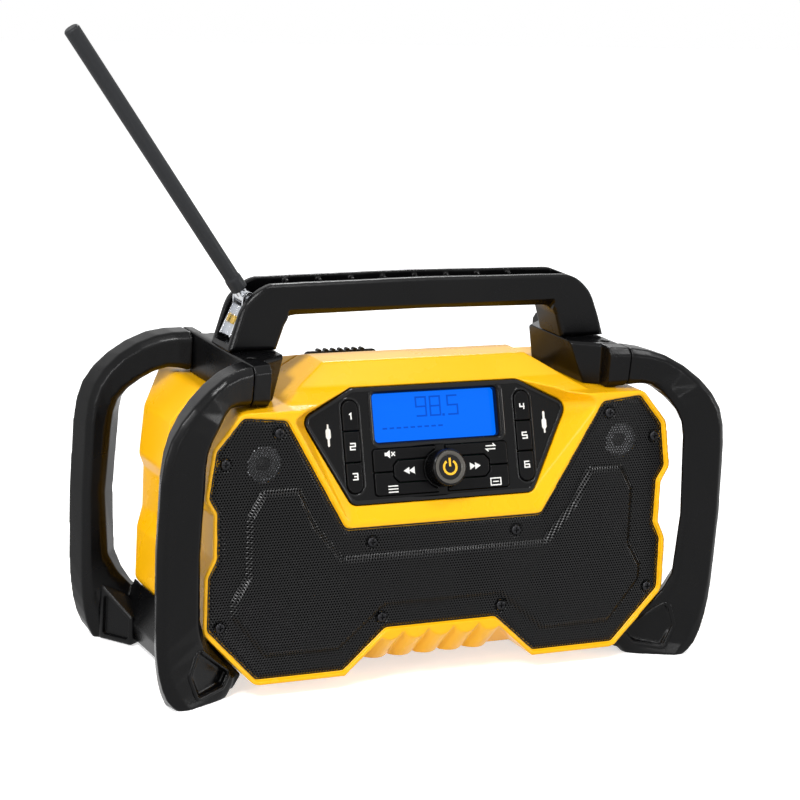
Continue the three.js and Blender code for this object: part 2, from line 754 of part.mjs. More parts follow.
function housings() {
  const outer = joined(bodyForm(0), valleyRibs());
  const shell = outer.subtract(bodyForm(bodyWall));
  const wide = bodySide + overrun;
  const tall = hoodHeight + overrun;
  const reach = cageHalfDepth + overrun;
  const frontHalf = box(-wide, wide, -reach, housingSeam - seatGap / 2, -overrun, tall);
  const backHalf = box(-wide, wide, housingSeam + seatGap / 2, reach, -overrun, tall);

  const grilleSeat = moved(slab(inset(grilleOutline, -seatGap), -sheet - seatGap, overrun), faceFrame);
  const behind = -frontWall - overrun;
  const openings = [
    shifted(cylinder(wooferOpening, behind, overrun), wooferX, wooferHeight, 0),
    shifted(cylinder(wooferOpening, behind, overrun), -wooferX, wooferHeight, 0),
    shifted(cylinder(tweeterOpening, behind, overrun), tweeterX, tweeterHeight, 0),
    shifted(cylinder(tweeterOpening, behind, overrun), -tweeterX, tweeterHeight, 0),
  ].map((solid) => moved(solid, faceFrame));
  const keyRoom = columnHalfWidth + keyFlange + slideGap;
  const boardOpening = moved(joined(
    slab(inset(bezelOutline, bezelLedge), behind, overrun),
    slab(inset(windowOutline, -windowFrameWall - slideGap), behind, overrun),
    slab(rectangle(columnX - keyRoom, columnX + keyRoom, flangeLow, windowTop), behind, overrun),
    slab(rectangle(-columnX - keyRoom, keyRoom - columnX, flangeLow, windowTop), behind, overrun),
  ), panelFrame);
  const front = openings.reduce((sum, hole) => sum.subtract(hole), shell.intersect(frontHalf))
    .subtract(grilleSeat)
    .subtract(boardOpening);
  addPiece("front_housing", front, yellow);

  const bayOuter = box(bayLeft - bayWall, bayRight + bayWall, bayFront - bayWall, bodyBack - bodyWall / 2,
    bayBottom - bayWall, bayTop + bayWall);
  const frame = box(bayX - frameHalfWidth, bayX + frameHalfWidth, bodyBack - frameDepth,
    bodyBack - bodyWall / 2, frameBottom, bodyTop - bodyWall);
  const bayInner = box(bayLeft, bayRight, bayFront, bodyBack + overrun, bayBottom, bayTop);
  const doorRecess = box(bayX - doorHalfWidth - seatGap, bayX + doorHalfWidth + seatGap, doorFloor,
    bodyBack + overrun, doorBottom - seatGap, doorTop + seatGap);
  const relief = cylinderX(hingeRelief, bayX - doorHalfWidth - seatGap, bayX + doorHalfWidth + seatGap, hingeY, hingeZ);
  const inletHole = cylinderY(inletRadius + seatGap, bodyBack - overrun, bodyBack + overrun, inletX, inletHeight);
  const pinHole = cylinderX(hingePinRadius + hingePinClearance, -wide, wide, hingeY, hingeZ);
  const posts = [];
  [-1, 1].forEach((sideSign) => {
    [mainBoardBottom + overrun / 2, mainBoardTop - overrun / 2].forEach((z) => {
      const x = bayX + sideSign * (bayHalfWidth - overrun / 2);
      posts.push(cylinderY(postRadius, bayFront - bayWall - mainBoardStandoff, bayFront - bayWall / 2, x, z));
    });
  });
  const back = joined(shell.intersect(backHalf), joined(bayOuter, frame).intersect(outer), ...posts)
    .subtract(bayInner)
    .subtract(doorRecess)
    .subtract(relief)
    .add(hingeLugs(knuckleRadius, 0).intersect(box(-wide, wide, doorFloor - overrun, hingeY + overrun, 0, tall)))
    .add(lugFeet())
    .subtract(pinHole)
    .subtract(inletHole);
  addPiece("rear_housing", back, yellow);
}

// Webs that carry the hinge lugs on the frame below the door
function lugFeet() {
  const feet = [-1, 1].map((sideSign) => {
    const outer = bayX + sideSign * hingeHalfLength;
    const inner = bayX + sideSign * (hingeHalfLength - lugLength);
    return box(Math.min(outer, inner), Math.max(outer, inner), bodyBack - frameDepth, hingeY,
      hingeZ - knuckleRadius, hingeZ);
  });
  return joined(...feet);
}

// Grille: one pressed sheet, dished rim, raised fields, holes over the loudspeakers
function grille() {
  const raised = (grow, rise) => {
    const low = rounded(inset(fieldOutline, -grow)).map((p) => new THREE.Vector3(p.x, p.y, -overrun));
    const foot = rounded(inset(fieldOutline, -grow)).map((p) => new THREE.Vector3(p.x, p.y, rise - fieldRise));
    const top = rounded(inset(fieldOutline, fieldSlopeWidth - grow)).map((p) => new THREE.Vector3(p.x, p.y, rise));
    return solidOf(loft([low, foot, top]));
  };
  const edge = rounded(grilleOutline);
  const ringAt = (ring, z) => ring.map((p) => new THREE.Vector3(p.x, p.y, z));
  const base = solidOf(loft([ringAt(edge, -sheet), ringAt(edge, -borderDrop), ringAt(shrunkRing(edge, borderWidth), 0)]));
  const outerSkin = joined(base, raised(0, fieldRise).intersect(slab(grilleOutline, -sheet, fieldRise + overrun)));
  let sheetSolid = outerSkin.subtract(raised(-sheet / 2, fieldRise - sheet));
  const field = rounded(inset(fieldOutline, fieldSlopeWidth + holeMargin));
  const inside = (x, y) => {
    let crossings = 0;
    field.forEach((a, i) => {
      const b = field[(i + 1) % field.length];
      if ((a.y > y) !== (b.y > y) && x < a.x + ((y - a.y) * (b.x - a.x)) / (b.y - a.y)) crossings += 1;
    });
    return crossings % 2 === 1;
  };
  const rowPitch = holePitch * Math.sin(Math.PI / 3);
  const rows = Math.floor(bodyHeight / rowPitch);
  const columns = Math.floor(bodyHalfWidth / holePitch);
  const holes = [];
  for (let row = 0; row < rows; row += 1) {
    for (let column = -columns; column <= columns; column += 1) {
      const x = (column + (row % 2) / 2) * holePitch;
      const y = row * rowPitch;
      const overTweeter = Math.hypot(Math.abs(x) - tweeterX, y - tweeterHeight) < tweeterOpening;
      const overWoofer = Math.hypot(Math.abs(x) - wooferX, y - wooferHeight) < wooferOpening;
      if ((overWoofer && inside(x, y)) || overTweeter) {
        holes.push(shifted(cylinder(holeRadius, -overrun, overrun, holeSides), x, y, 0));
      }
    }
  }
  holes.forEach((hole) => { sheetSolid = sheetSolid.subtract(hole); });
  addPiece("speaker_grille", sheetSolid, sheetBlack, face);
}

function loudspeakers() {
  const back = lipProud - frontWall - seatGap;
  const flangeBack = back - wooferFlangeThickness;
  const floor = back - wooferDepth + magnetDepth;
  const basketNeck = magnetRadius - coneThroat / 2;
  const frameSolid = revolve([
    [0, back - wooferDepth], [magnetRadius, back - wooferDepth], [magnetRadius, floor - coneSkin * 2],
    [basketNeck, floor - coneSkin], [wooferOpening, flangeBack], [wooferFlange, flangeBack],
    [wooferFlange, back], [wooferOpening, back], [wooferOpening, flangeBack + coneSkin],
    [basketNeck - coneSkin, floor + coneSkin], [basketNeck - coneSkin, floor], [0, floor],
  ]);
  const rim = wooferOpening - seatGap * 2;
  const rollWidth = wooferOpening - coneRadius + lip * 2;
  const coneEdge = rim - rollWidth;
  const coneBack = floor + seatGap;
  const coneSolid = revolve([
    [0, coneBack], [coneThroat, coneBack], [coneThroat, floor + coneThroat / 2],
    [coneEdge, back - lip], [coneEdge + rollWidth / 2, back - lip / 2], [rim - coneSkin, back - lip],
    [rim - coneSkin, flangeBack + coneSkin * 2], [rim, flangeBack + coneSkin * 2],
    [rim, back - lip + coneSkin], [coneEdge + rollWidth / 2, back + coneSkin],
    [coneEdge, back - lip + coneSkin * 2], [coneThroat + coneSkin, floor + coneThroat / 2 + coneSkin * 2],
    [coneThroat / 2, floor + coneThroat], [0, floor + coneThroat + coneSkin],
  ]);
  const tweeterSolid = revolve([
    [0, back - tweeterDepth], [tweeterOpening - coneSkin, back - tweeterDepth],
    [tweeterOpening - coneSkin, back - coneSkin * 2], [tweeterFlange, back - coneSkin * 2],
    [tweeterFlange, back], [tweeterOpening - coneSkin, back], [tweeterOpening - lip, back - coneSkin],
    [tweeterOpening / 2, back], [tweeterOpening / 4, back + coneSkin], [0, back + coneSkin * 1.5],
  ]);
  [["left", -1], ["right", 1]].forEach(([sideName, sideSign]) => {
    addPiece(`woofer_frame_${sideName}`, shifted(frameSolid, sideSign * wooferX, wooferHeight, 0), steel, face);
    addPiece(`woofer_cone_${sideName}`, shifted(coneSolid, sideSign * wooferX, wooferHeight, 0), paper, face);
    addPiece(`tweeter_${sideName}`, shifted(tweeterSolid, sideSign * tweeterX, tweeterHeight, 0), darkGrey, face);
  });
}

// Levels behind the panel face, from the bezel down to the control board
const bezelBack = -bezelThickness;
const frameBack = bezelBack - windowFrameDepth;
const lensFront = frameBack - seatGap;
const displayFront = lensFront - lensThickness - seatGap;
const boardFront = displayFront - displayThickness - seatGap;
const switchTop = boardFront + switchHeight;
const stemTip = switchTop + switchGap;

// Openings and keys of the right half of the key cluster, about the knob's centre
function wellArc(from, to) {
  const steps = arcSteps * 2;
  const points = [];
  for (let i = 0; i <= steps; i += 1) {
    const angle = from + ((to - from) * i) / steps;
    points.push([knobWell * Math.cos(angle), clusterLevel + knobWell * Math.sin(angle), 0]);
  }
  return points;
}
const neckAngle = Math.acos(clusterNeck / knobWell);
const seekAngle = Math.asin(seekHalfHeight / knobWell);
const clusterOpening = [
  [clusterNeck, clusterLevel - clusterHalfHeight, 0],
  [clusterHalfWidth, clusterLevel - clusterHalfHeight, windowRadius],
  [clusterHalfWidth, clusterLevel + clusterHalfHeight, windowRadius],
  [clusterNeck, clusterLevel + clusterHalfHeight, 0],
  ...wellArc(neckAngle, -neckAngle),
];
const wideKeyCell = [
  [clusterHalfWidth, clusterLevel, 0],
  [clusterHalfWidth, clusterLevel + clusterHalfHeight, windowRadius],
  [clusterNeck, clusterLevel + clusterHalfHeight, 0],
  ...wellArc(neckAngle, seekAngle),
  [seekReach - seekChamfer, clusterLevel + seekHalfHeight, 0],
  [seekReach, clusterLevel + seekHalfHeight - seekChamfer, 0],
  [seekReach, clusterLevel, 0],
];
const seekKeyCell = [
  ...wellArc(-seekAngle, seekAngle).reverse(),
  [seekReach - seekChamfer, clusterLevel - seekHalfHeight, 0],
  [seekReach, clusterLevel - seekHalfHeight + seekChamfer, 0],
  [seekReach, clusterLevel + seekHalfHeight - seekChamfer, 0],
  [seekReach - seekChamfer, clusterLevel + seekHalfHeight, 0],
];

function flippedUp(points) {
  return points.map(([x, y, r]) => [x, clusterLevel * 2 - y, r]).reverse();
}

function rectangle(x0, x1, y0, y1) {
  return [[x0, y0, 0], [x1, y0, 0], [x1, y1, 0], [x0, y1, 0]];
}

const flangeTop = bezelBack - seatGap;
const flangeBottom = flangeTop - keyFlangeThickness;
const wideKeyX = (seekReach + clusterHalfWidth) / 2;
const wideKeyY = clusterLevel + (clusterHalfHeight + slideGap) / 2;
const seekKeyX = (knobWell + seekReach) / 2;
const wideKeyBottom = clusterLevel + clusterHalfHeight - lip;

// Places of the switches under the keys, as [x, y] on the panel
const presetPlaces = [];
[-1, 1].forEach((sideSign) => {
  for (let i = 0; i < presetsPerColumn; i += 1) {
    presetPlaces.push([sideSign * columnX, columnTop - (i + 0.5) * presetHeight]);
  }
});
const clusterPlaces = [-1, 1].flatMap((sideSign) => [
  [sideSign * wideKeyX, wideKeyY],
  [sideSign * wideKeyX, clusterLevel * 2 - wideKeyY],
  [sideSign * seekKeyX, clusterLevel],
]);

function key(cell, place, flange) {
  const cap = slab(inset(cell, slideGap), flangeTop - keyFlangeThickness / 2, keyRise, keyEdge);
  const foot = slab(flange, flangeBottom, flangeTop);
  const stem = shifted(cylinder(keyStem, stemTip, flangeTop, smallCircleSteps), place[0], place[1], 0);
  return joined(cap, foot, stem);
}

function presetKeys() {
  presetPlaces.forEach(([x, y], i) => {
    const low = y - presetHeight / 2;
    const high = y + presetHeight / 2;
    const row = i % presetsPerColumn;
    const topRadius = row === 0 ? columnHalfWidth : 0;
    const bottomRadius = row === presetsPerColumn - 1 ? columnHalfWidth : 0;
    const cell = [
      [x - columnHalfWidth, low, bottomRadius], [x + columnHalfWidth, low, bottomRadius],
      [x + columnHalfWidth, high, topRadius], [x - columnHalfWidth, high, topRadius],
    ];
    const flange = rectangle(x - columnHalfWidth - keyFlange, x + columnHalfWidth + keyFlange,
      y - presetHeight / 4, y + presetHeight / 4);
    addPiece(`preset_button_${i + 1}`, key(cell, [x, y], flange), keyBlack, panel);
  });
}

function clusterKeys() {
  const outer = clusterHalfWidth + keyFlange;
  const upperFlange = rectangle(wideKeyX - keyStem * 2, outer, clusterLevel + seekHalfHeight / 2 + slideGap, wideKeyBottom);
  const seekFlange = rectangle(seekKeyX - seekHalfHeight / 2, seekKeyX + seekHalfHeight / 2,
    clusterLevel - seekHalfHeight / 2, clusterLevel + seekHalfHeight / 2);
  const upper = key(wideKeyCell, [wideKeyX, wideKeyY], upperFlange);
  const lower = key(flippedUp(wideKeyCell), [wideKeyX, clusterLevel * 2 - wideKeyY], flippedUp(upperFlange));
  const seek = key(seekKeyCell, [seekKeyX, clusterLevel], seekFlange);
  addPiece("upper_right_button", upper, keyBlack, panel);
  addPiece("lower_right_button", lower, keyBlack, panel);
  addPiece("seek_forward_button", seek, keyBlack, panel);
  addPiece("upper_left_button", mirrored(upper, -1, 1), keyBlack, panel);
  addPiece("lower_left_button", mirrored(lower, -1, 1), keyBlack, panel);
  addPiece("seek_back_button", mirrored(seek, -1, 1), keyBlack, panel);
}

function bezel() {
  const columnOpening = (x) => slab([
    [x - columnHalfWidth, columnBottom, columnHalfWidth], [x + columnHalfWidth, columnBottom, columnHalfWidth],
    [x + columnHalfWidth, columnTop, columnHalfWidth], [x - columnHalfWidth, columnTop, columnHalfWidth],
  ], bezelBack - overrun, overrun);
  const clusterHole = slab(clusterOpening, bezelBack - overrun, overrun);
  const frameOuter = inset(windowOutline, -windowFrameWall);
  const posts = [-1, 1].flatMap((sideSign) => [
    [sideSign * (panelHalfWidth - bezelLedge * 4), panelLevelOfWing()],
    [sideSign * (columnX - overrun / 3), columnTop + bezelLedge],
  ]).map(([x, y]) => shifted(cylinder(postRadius, boardFront + seatGap, bezelBack + seatGap, smallCircleSteps), x, y, 0));
  let solid = joined(
    slab(bezelOutline, bezelBack, 0, bezelEdge),
    slab(frameOuter, frameBack, bezelBack + seatGap),
    ...posts,
  );
  solid = solid.subtract(slab(windowOutline, frameBack - overrun, overrun));
  solid = solid.subtract(windowFlare());
  solid = solid.subtract(columnOpening(columnX)).subtract(columnOpening(-columnX));
  solid = solid.subtract(clusterHole).subtract(mirrored(clusterHole, -1, 1));
  solid = solid.subtract(shifted(cylinder(plungerRadius + slideGap, bezelBack - overrun, overrun), 0, clusterLevel, 0));
  addPiece("control_bezel", solid, black, panel);
}

function panelLevelOfWing() {
  return panelOutlineShares[1][1] * panelHeight - bezelLedge;
}

// The window's walls flare out towards the viewer
function windowFlare() {
  const inner = rounded(windowOutline);
  const outer = rounded(inset(windowOutline, -windowFlareWidth));
  return solidOf(loft([
    inner.map((p) => new THREE.Vector3(p.x, p.y, bezelBack / 2)),
    outer.map((p) => new THREE.Vector3(p.x, p.y, seatGap)),
  ]));
}

function display() {
  const outline = inset(windowOutline, -windowFrameWall);
  addPiece("display_lens", slab(outline, lensFront - lensThickness, lensFront), lensBlue, panel);
  addPiece("display_module", slab(outline, displayFront - displayThickness, displayFront), darkGrey, panel);
}

function controlBoard() {
  const board = slab(inset(bezelOutline, boardInset), boardFront - boardThickness, boardFront);
  const switches = [...presetPlaces, ...clusterPlaces].map(([x, y]) => slab(
    rectangle(x - switchHalf, x + switchHalf, y - switchHalf, y + switchHalf),
    boardFront - boardThickness / 2, switchTop,
  ));
  addPiece("control_board", joined(board, ...switches), boardGreen, panel);
}

// Encoder, its push shaft and the knob stand on one axis
function encoderAndKnob() {
  const at = (solid) => shifted(solid, 0, clusterLevel, 0);
  const bodyTopLevel = boardFront + seatGap + encoderHeight;
  const pocketFloor = boardFront + seatGap + encoderHeight / 3;
  const encoder = slab(rectangle(-encoderHalf, encoderHalf, -encoderHalf, encoderHalf), boardFront + seatGap, bodyTopLevel)
    .subtract(cylinder(shaftRadius + shaftBoreClearance, pocketFloor, bodyTopLevel + overrun));
  const plungerBottom = bodyTopLevel + keyTravel + seatGap;
  const plungerTop = bezelBack + lip;
  const bore = cylinder(shaftRadius + shaftBoreClearance, -overrun * 2, overrun * 2);
  const plunger = cylinder(plungerRadius, plungerBottom, plungerTop).subtract(bore);
  const shaftTop = knobHeight - lip;
  const shaft = cylinder(shaftRadius, pocketFloor + keyTravel + seatGap, shaftTop);
  const knob = revolve([
    [0, shaftTop + seatGap], [shaftRadius + shaftBoreClearance, shaftTop + seatGap],
    [shaftRadius + shaftBoreClearance, knobLift], [knobRadius, knobLift],
    [knobRadius, knobHeight - knobEdge * 2], [knobRadius - knobEdge, knobHeight - knobEdge / 2],
    [knobRadius - knobEdge * 2, knobHeight], [0, knobHeight],
  ], knobSteps);
  addPiece("encoder_body", at(encoder), darkGrey, panel);
  addPiece("encoder_plunger", at(plunger), steel, panel);
  addPiece("encoder_shaft", at(shaft), steel, panel);
  addPiece("control_knob", at(knob), black, panel);
}

// One bar of the cage: four edges through the stations, each corner cut off
function cageBar() {
  const edges = [...Array(barEdges).keys()].map((edge) => barStationShares.map((station) => {
    const [x, y, z] = station[edge];
    return new THREE.Vector3(x * cageHalfWidth, -y * cageHalfDepth, z * cageHeight);
  }));
  const steps = (barStationShares.length - 1) * barSubdivisions;
  const smooth = edges.map((points) => new THREE.CatmullRomCurve3(points).getPoints(steps));
  const rings = [];
  for (let step = 0; step <= steps; step += 1) {
    const corners = smooth.map((points) => points[step]);
    rings.push(corners.flatMap((p, i) => {
      const before = corners[(i + barEdges - 1) % barEdges];
      const after = corners[(i + 1) % barEdges];
      return [p.clone().lerp(before, barCornerShare), p.clone().lerp(after, barCornerShare)];
    }));
  }
  return solidOf(loft(rings));
}

// Lower bar along the depth, its inner face against the body's lower corner
function crossbar() {
  const [foot, corner] = [bodyOutline[1], bodyOutline[2]];
  const along = (share) => [
    foot[0] + share * (corner[0] - foot[0]),
    foot[1] + share * (corner[1] - foot[1]),
  ];
  const inner = along(crossbarInnerShare);
  const outer = along(crossbarOuterShare);
  const barFace = barStationShares[barStationShares.length - 1][2][1] * cageHalfDepth;
  const crossbarHalfLength = barFace + crossbarOverlap;
  return alongY([
    [inner[0], inner[1]],
    [inner[0] + lip * 2, crossbarClearance],
    [crossbarOuter - lip, crossbarClearance],
    [crossbarOuter, crossbarCreaseHeight],
    [outer[0], outer[1]],
  ], -crossbarHalfLength, crossbarHalfLength);
}

function footRecess() {
  const outline = fromShares(footRecessShares, cageHalfWidth, cageHeight, 0);
  const cut = alongY(outline, -cageHalfDepth, 0);
  const lean = new THREE.Matrix4().set(
    1, 0, 0, 0,
    -Math.tan(footWebAngle), 1, 0, (cageHalfWidth - footWebInset) * Math.tan(footWebAngle) - cageHalfDepth + footRecessDepth,
    0, 0, 1, 0,
    0, 0, 0, 1,
  );
  return moved(cut, lean);
}

function innerRecess() {
  const outline = fromShares(innerRecessShares, cageHalfWidth, cageHeight, 0);
  return alongY(outline, innerRecessInset - cageHalfDepth - footRecessDepth, 0);
}

function cageAndShoulders(bodyClearance) {
  const bar = cageBar();
  const bars = joined(bar, mirrored(bar, 1, -1));
  const reach = cageHalfWidth * 2;
  const waist = cageHeight / 2;
  const beyondSeam = joined(
    box(seamX + seatGap / 2, reach, -reach, reach, 0, reach * 2),
    box(0, reach, -reach, reach, 0, waist),
  );
  const insideSeam = box(-overrun, seamX - seatGap / 2, -reach, reach, waist, reach * 2);
  const recesses = joined(footRecess(), innerRecess());
  const cage = joined(bars, crossbar())
    .subtract(recesses)
    .subtract(mirrored(recesses, 1, -1))
    .intersect(beyondSeam)
    .subtract(bodyClearance);
  const plan = fromShares(shoulderPlanShares, cageHalfWidth, cageHalfDepth, shoulderPlanRadius);
  const legFace = (z) => handleHalfWidth * gripInnerFoot[0] + (cageHeight - z) * legSlope;
  const shoulderRoot = cageHeight - shoulderDepth;
  const section = alongY([
    [legFace(shoulderRoot), shoulderRoot], [seamX + overrun, shoulderRoot], [seamX + overrun, cageHeight - lip],
    [seamX - lip, cageHeight], [legFace(cageHeight), cageHeight],
  ], -reach, reach);
  const block = slab(plan, shoulderRoot, cageHeight, shoulderEdge).intersect(section);
  const caps = joined(
    bars.intersect(box(seamX - frontCapLength, reach, -reach, 0, -overrun, reach * 2)),
    bars.intersect(box(seamX - backCapLength, reach, 0, reach, -overrun, reach * 2)),
  );
  const dimple = shifted(cylinder(screwDimpleRadius, cageHeight - screwDimpleDepth, cageHeight + overrun),
    seamX - screwDimpleInset, screwDimpleY, 0);
  const shoulder = joined(block, caps)
    .intersect(insideSeam)
    .subtract(bodyClearance)
    .subtract(dimple)
    .subtract(mirrored(dimple, 1, -1));
  addPiece("right_cage", cage, black);
  addPiece("left_cage", mirrored(cage, -1, 1), black);
  addPiece("right_shoulder", shoulder, black);
  addPiece("left_shoulder", mirrored(shoulder, -1, 1), black);
}

// Places on the slotted left leg: along its slope and out from the slot's floor
const slotFoot = [slotFootInset - handleHalfWidth, cageHeight + slotFootRise];
const slotHead = [slotHeadInset - handleHalfWidth, channelFloor];
const slotRun = new THREE.Vector2(slotHead[0] - slotFoot[0], slotHead[1] - slotFoot[1]).normalize();
function onSlot(along, out) {
  return [
    slotFoot[0] + along * slotRun.x - out * slotRun.y,
    slotFoot[1] + along * slotRun.y + out * slotRun.x,
  ];
}
const brassTurn = new THREE.Matrix4().makeRotationY(-Math.PI / 2 + Math.atan2(slotRun.x, slotRun.y));
const brassPlace = onSlot(brassAlong, seatGap + bracketStrip);
const brassFrame = brassTurn.clone().setPosition(brassPlace[0], handleCentre + brassOffset, brassPlace[1]);
const legSlope = handleHalfWidth * (gripInnerFoot[0] - gripInner[0]) / (gripInner[1] * handleRise);

function handle() {
  const base = cageHeight + seatGap;
  const top = base + handleRise;
  const gripBottom = base + gripInner[1] * handleRise;
  const half = [
    [0, gripCrownShare, 0], [gripInner[0], gripInner[1], handleCorner], [gripInnerFoot[0], gripInnerFoot[1], 0],
    ...handleOuterShares.map(([x, z]) => [x, z, z > 0 ? handleCorner : 0]), [0, 1, 0],
  ].map(([x, z, r]) => [x * handleHalfWidth, base + z * handleRise, r]);
  const front = handleCentre - handleHalfDepth;
  const back = handleCentre + handleHalfDepth;
  const bow = alongY(bothSides(half), front, back, handleEdge);
  const gripHalf = gripInner[0] * handleHalfWidth;
  const gripEdge = (y, inward) => alongX(inward > 0 ? [
    [y - overrun, gripBottom - overrun], [y + inward + overrun, gripBottom - overrun],
    [y - overrun, gripBottom + gripChamfer + overrun],
  ] : [
    [y + overrun, gripBottom - overrun], [y + overrun, gripBottom + gripChamfer + overrun],
    [y + inward - overrun, gripBottom - overrun],
  ], -gripHalf, gripHalf);
  const channel = box(-handleHalfWidth - overrun, handleHalfWidth - channelEndInset, handleCentre - channelHalfWidth,
    handleCentre + channelHalfWidth, channelFloor, top + overrun);
  const slot = alongY([
    [-handleHalfWidth - overrun, slotFoot[1]], slotFoot, slotHead,
    [-handleHalfWidth - overrun, slotHead[1]],
  ], handleCentre - channelHalfWidth, handleCentre + channelHalfWidth);
  const ribs = [];
  const firstRib = channelRibStartInset - handleHalfWidth;
  const ribRun = handleHalfWidth - channelRibEndInset - firstRib;
  for (let i = 0; i < channelRibs; i += 1) {
    const x = firstRib + (ribRun * i) / (channelRibs - 1);
    [-1, 1].forEach((sideSign) => {
      const wallY = handleCentre + sideSign * (channelHalfWidth + lipProud);
      const tipY = handleCentre + sideSign * channelRibGap;
      ribs.push(box(x - channelRibWidth / 2, x + channelRibWidth / 2, Math.min(wallY, tipY), Math.max(wallY, tipY),
        channelFloor - lipProud, top - channelRibDrop));
    });
  }
  const brassHole = moved(cylinder(brassShankRadius + pinClearance, -brassShankLength - overrun / 4, 0), brassFrame);
  const solid = bow
    .subtract(gripEdge(front, gripChamfer))
    .subtract(gripEdge(back, -gripChamfer))
    .subtract(channel)
    .subtract(slot)
    .add(joined(...ribs))
    .subtract(brassHole);
  addPiece("carry_handle", solid, black);
}

function aerialBracket() {
  const ear = [
    onSlot(bracketLow, seatGap), onSlot(bracketHigh, seatGap),
    ...earArcDegrees.map((degrees) => {
      const angle = THREE.MathUtils.degToRad(degrees);
      return [pivotX + earRadius * Math.cos(angle), pivotHeight + earRadius * Math.sin(angle)];
    }),
    onSlot(bracketHigh, bracketReach), onSlot(bracketLow, bracketReach),
  ];
  const strip = [
    onSlot(bracketLow, seatGap), onSlot(bracketHigh, seatGap),
    onSlot(bracketHigh, seatGap + bracketStrip), onSlot(bracketLow, seatGap + bracketStrip),
  ];
  const earOuter = earInner + earThickness;
  const pinHole = cylinderY(pinRadius + pinClearance, handleCentre - earOuter * 2, handleCentre + earOuter * 2,
    pivotX, pivotHeight);
  const brassHole = moved(cylinder(brassShankRadius + pinClearance, -overrun, overrun / 2), brassFrame);
  const bracket = joined(
    alongY(strip, handleCentre - earOuter, handleCentre + earOuter),
    alongY(ear, handleCentre - earOuter, handleCentre - earInner),
    alongY(ear, handleCentre + earInner, handleCentre + earOuter),
  ).subtract(pinHole).subtract(brassHole);
  addPiece("aerial_bracket", bracket, steel);
  const screw = moved(joined(
    cylinder(brassHeadRadius, pinClearance, brassHeadHeight),
    cylinder(brassShankRadius, -brassShankLength, brassHeadHeight / 2),
  ), brassFrame);
  addPiece("bracket_screw", screw, brass);
  const pinHalf = channelHalfWidth - seatGap;
  const pin = cylinderY(pinRadius, handleCentre - pinHalf, handleCentre + pinHalf, pivotX, pivotHeight);
  addPiece("aerial_pin", pin, steel);
}

function aerialMast() {
  const socketEnd = mastBase + socketDepth;
  const eye = cylinderY(eyeRadius, -eyeHalfLength, eyeHalfLength, 0, 0)
    .add(cylinder(neckRadius, 0, socketEnd - seatGap))
    .subtract(cylinderY(pinRadius + pinClearance, -eyeHalfLength * 2, eyeHalfLength * 2, 0, 0));
  addPiece("aerial_knuckle", eye, darkGrey, aerial);
  const mast = revolve([
    [0, socketEnd], [socketRadius, socketEnd], [socketRadius, mastBase], [mastBaseRadius, mastBase],
    [mastBaseRadius, mastBase + mastCollar], [mastBaseRadius - mastTipRound / 2, mastBase + mastCollar + mastTipRound],
    [mastTipRadius, mastReach - mastTipRound], [mastTipRadius - mastTipRound, mastReach], [0, mastReach],
  ]);
  addPiece("aerial_mast", mast, darkGrey, aerial);
}

function batteryDoor() {
  const outerFace = bodyBack + doorProud;
  const plate = alongY([
    [bayX - doorHalfWidth, doorBottom, cornerRadius], [bayX + doorHalfWidth, doorBottom, cornerRadius],
    [bayX + doorHalfWidth, doorTop, cornerRadius], [bayX - doorHalfWidth, doorTop, cornerRadius],
  ], outerFace - doorThickness, outerFace);
  const knuckleHalf = hingeHalfLength - lugLength - seatGap;
  const knuckle = cylinderX(knuckleRadius, bayX - knuckleHalf, bayX + knuckleHalf, hingeY, hingeZ);
  const ribs = [];
  for (let i = 0; i < doorRibs; i += 1) {
    const x = bayX + (i - (doorRibs - 1) / 2) * doorRibPitch;
    ribs.push(box(x - doorRibHalfWidth, x + doorRibHalfWidth, outerFace - doorThickness - doorRibDepth,
      outerFace - doorThickness / 2, bayBottom + lip, latchBottom - lip * 2));
  }
  const tongueSlot = box(bayX - latchTongueHalfWidth - slideGap, bayX + latchTongueHalfWidth + slideGap,
    outerFace - doorThickness - overrun, outerFace + overrun,
    tongueBottom - latchTravel - slideGap, tongueBottom + latchTongueThickness + slideGap);
  const door = joined(plate, knuckle, ...ribs)
    .subtract(hingeLugs(knuckleRadius + slideGap, slideGap))
    .subtract(cylinderX(hingePinRadius + hingePinClearance, bayLeft - overrun, bayRight + overrun, hingeY, hingeZ))
    .subtract(tongueSlot);
  addPiece("battery_door", door, black);
  const pinHalf = hingeHalfLength - seatGap;
  addPiece("door_hinge_pin", cylinderX(hingePinRadius, bayX - pinHalf, bayX + pinHalf, hingeY, hingeZ), steel);
}

// Latch: a ridged thumb tab whose tongue passes through the door under the frame's rim
const tongueBottom = bayTop - latchTongueThickness - latchClearance;
function doorLatch() {
  const inner = bodyBack + doorProud + seatGap;
  const outer = inner + latchThickness;
  const tab = alongY([
    [bayX - latchHalfWidth, latchBottom, lip], [bayX + latchHalfWidth, latchBottom, lip],
    [bayX + latchHalfWidth, latchTop, lip], [bayX - latchHalfWidth, latchTop, lip],
  ], inner, outer);
  const ridges = [];
  for (let i = 0; i < latchRidges; i += 1) {
    const x = bayX + (i - (latchRidges - 1) / 2) * latchRidgePitch;
    ridges.push(shifted(cylinder(latchRidgeRadius, latchBottom + lip, latchTop - lip / 2, smallCircleSteps), x, outer - lip / 2, 0));
  }
  const clip = box(bayLeft, bayRight, inner, outer + overrun, latchBottom, latchTop);
  const tongue = box(bayX - latchTongueHalfWidth, bayX + latchTongueHalfWidth, inner - latchTongueReach,
    inner + latchThickness / 2, tongueBottom, tongueBottom + latchTongueThickness);
  addPiece("door_latch", joined(tab, joined(...ridges).intersect(clip), tongue), darkGrey);
}

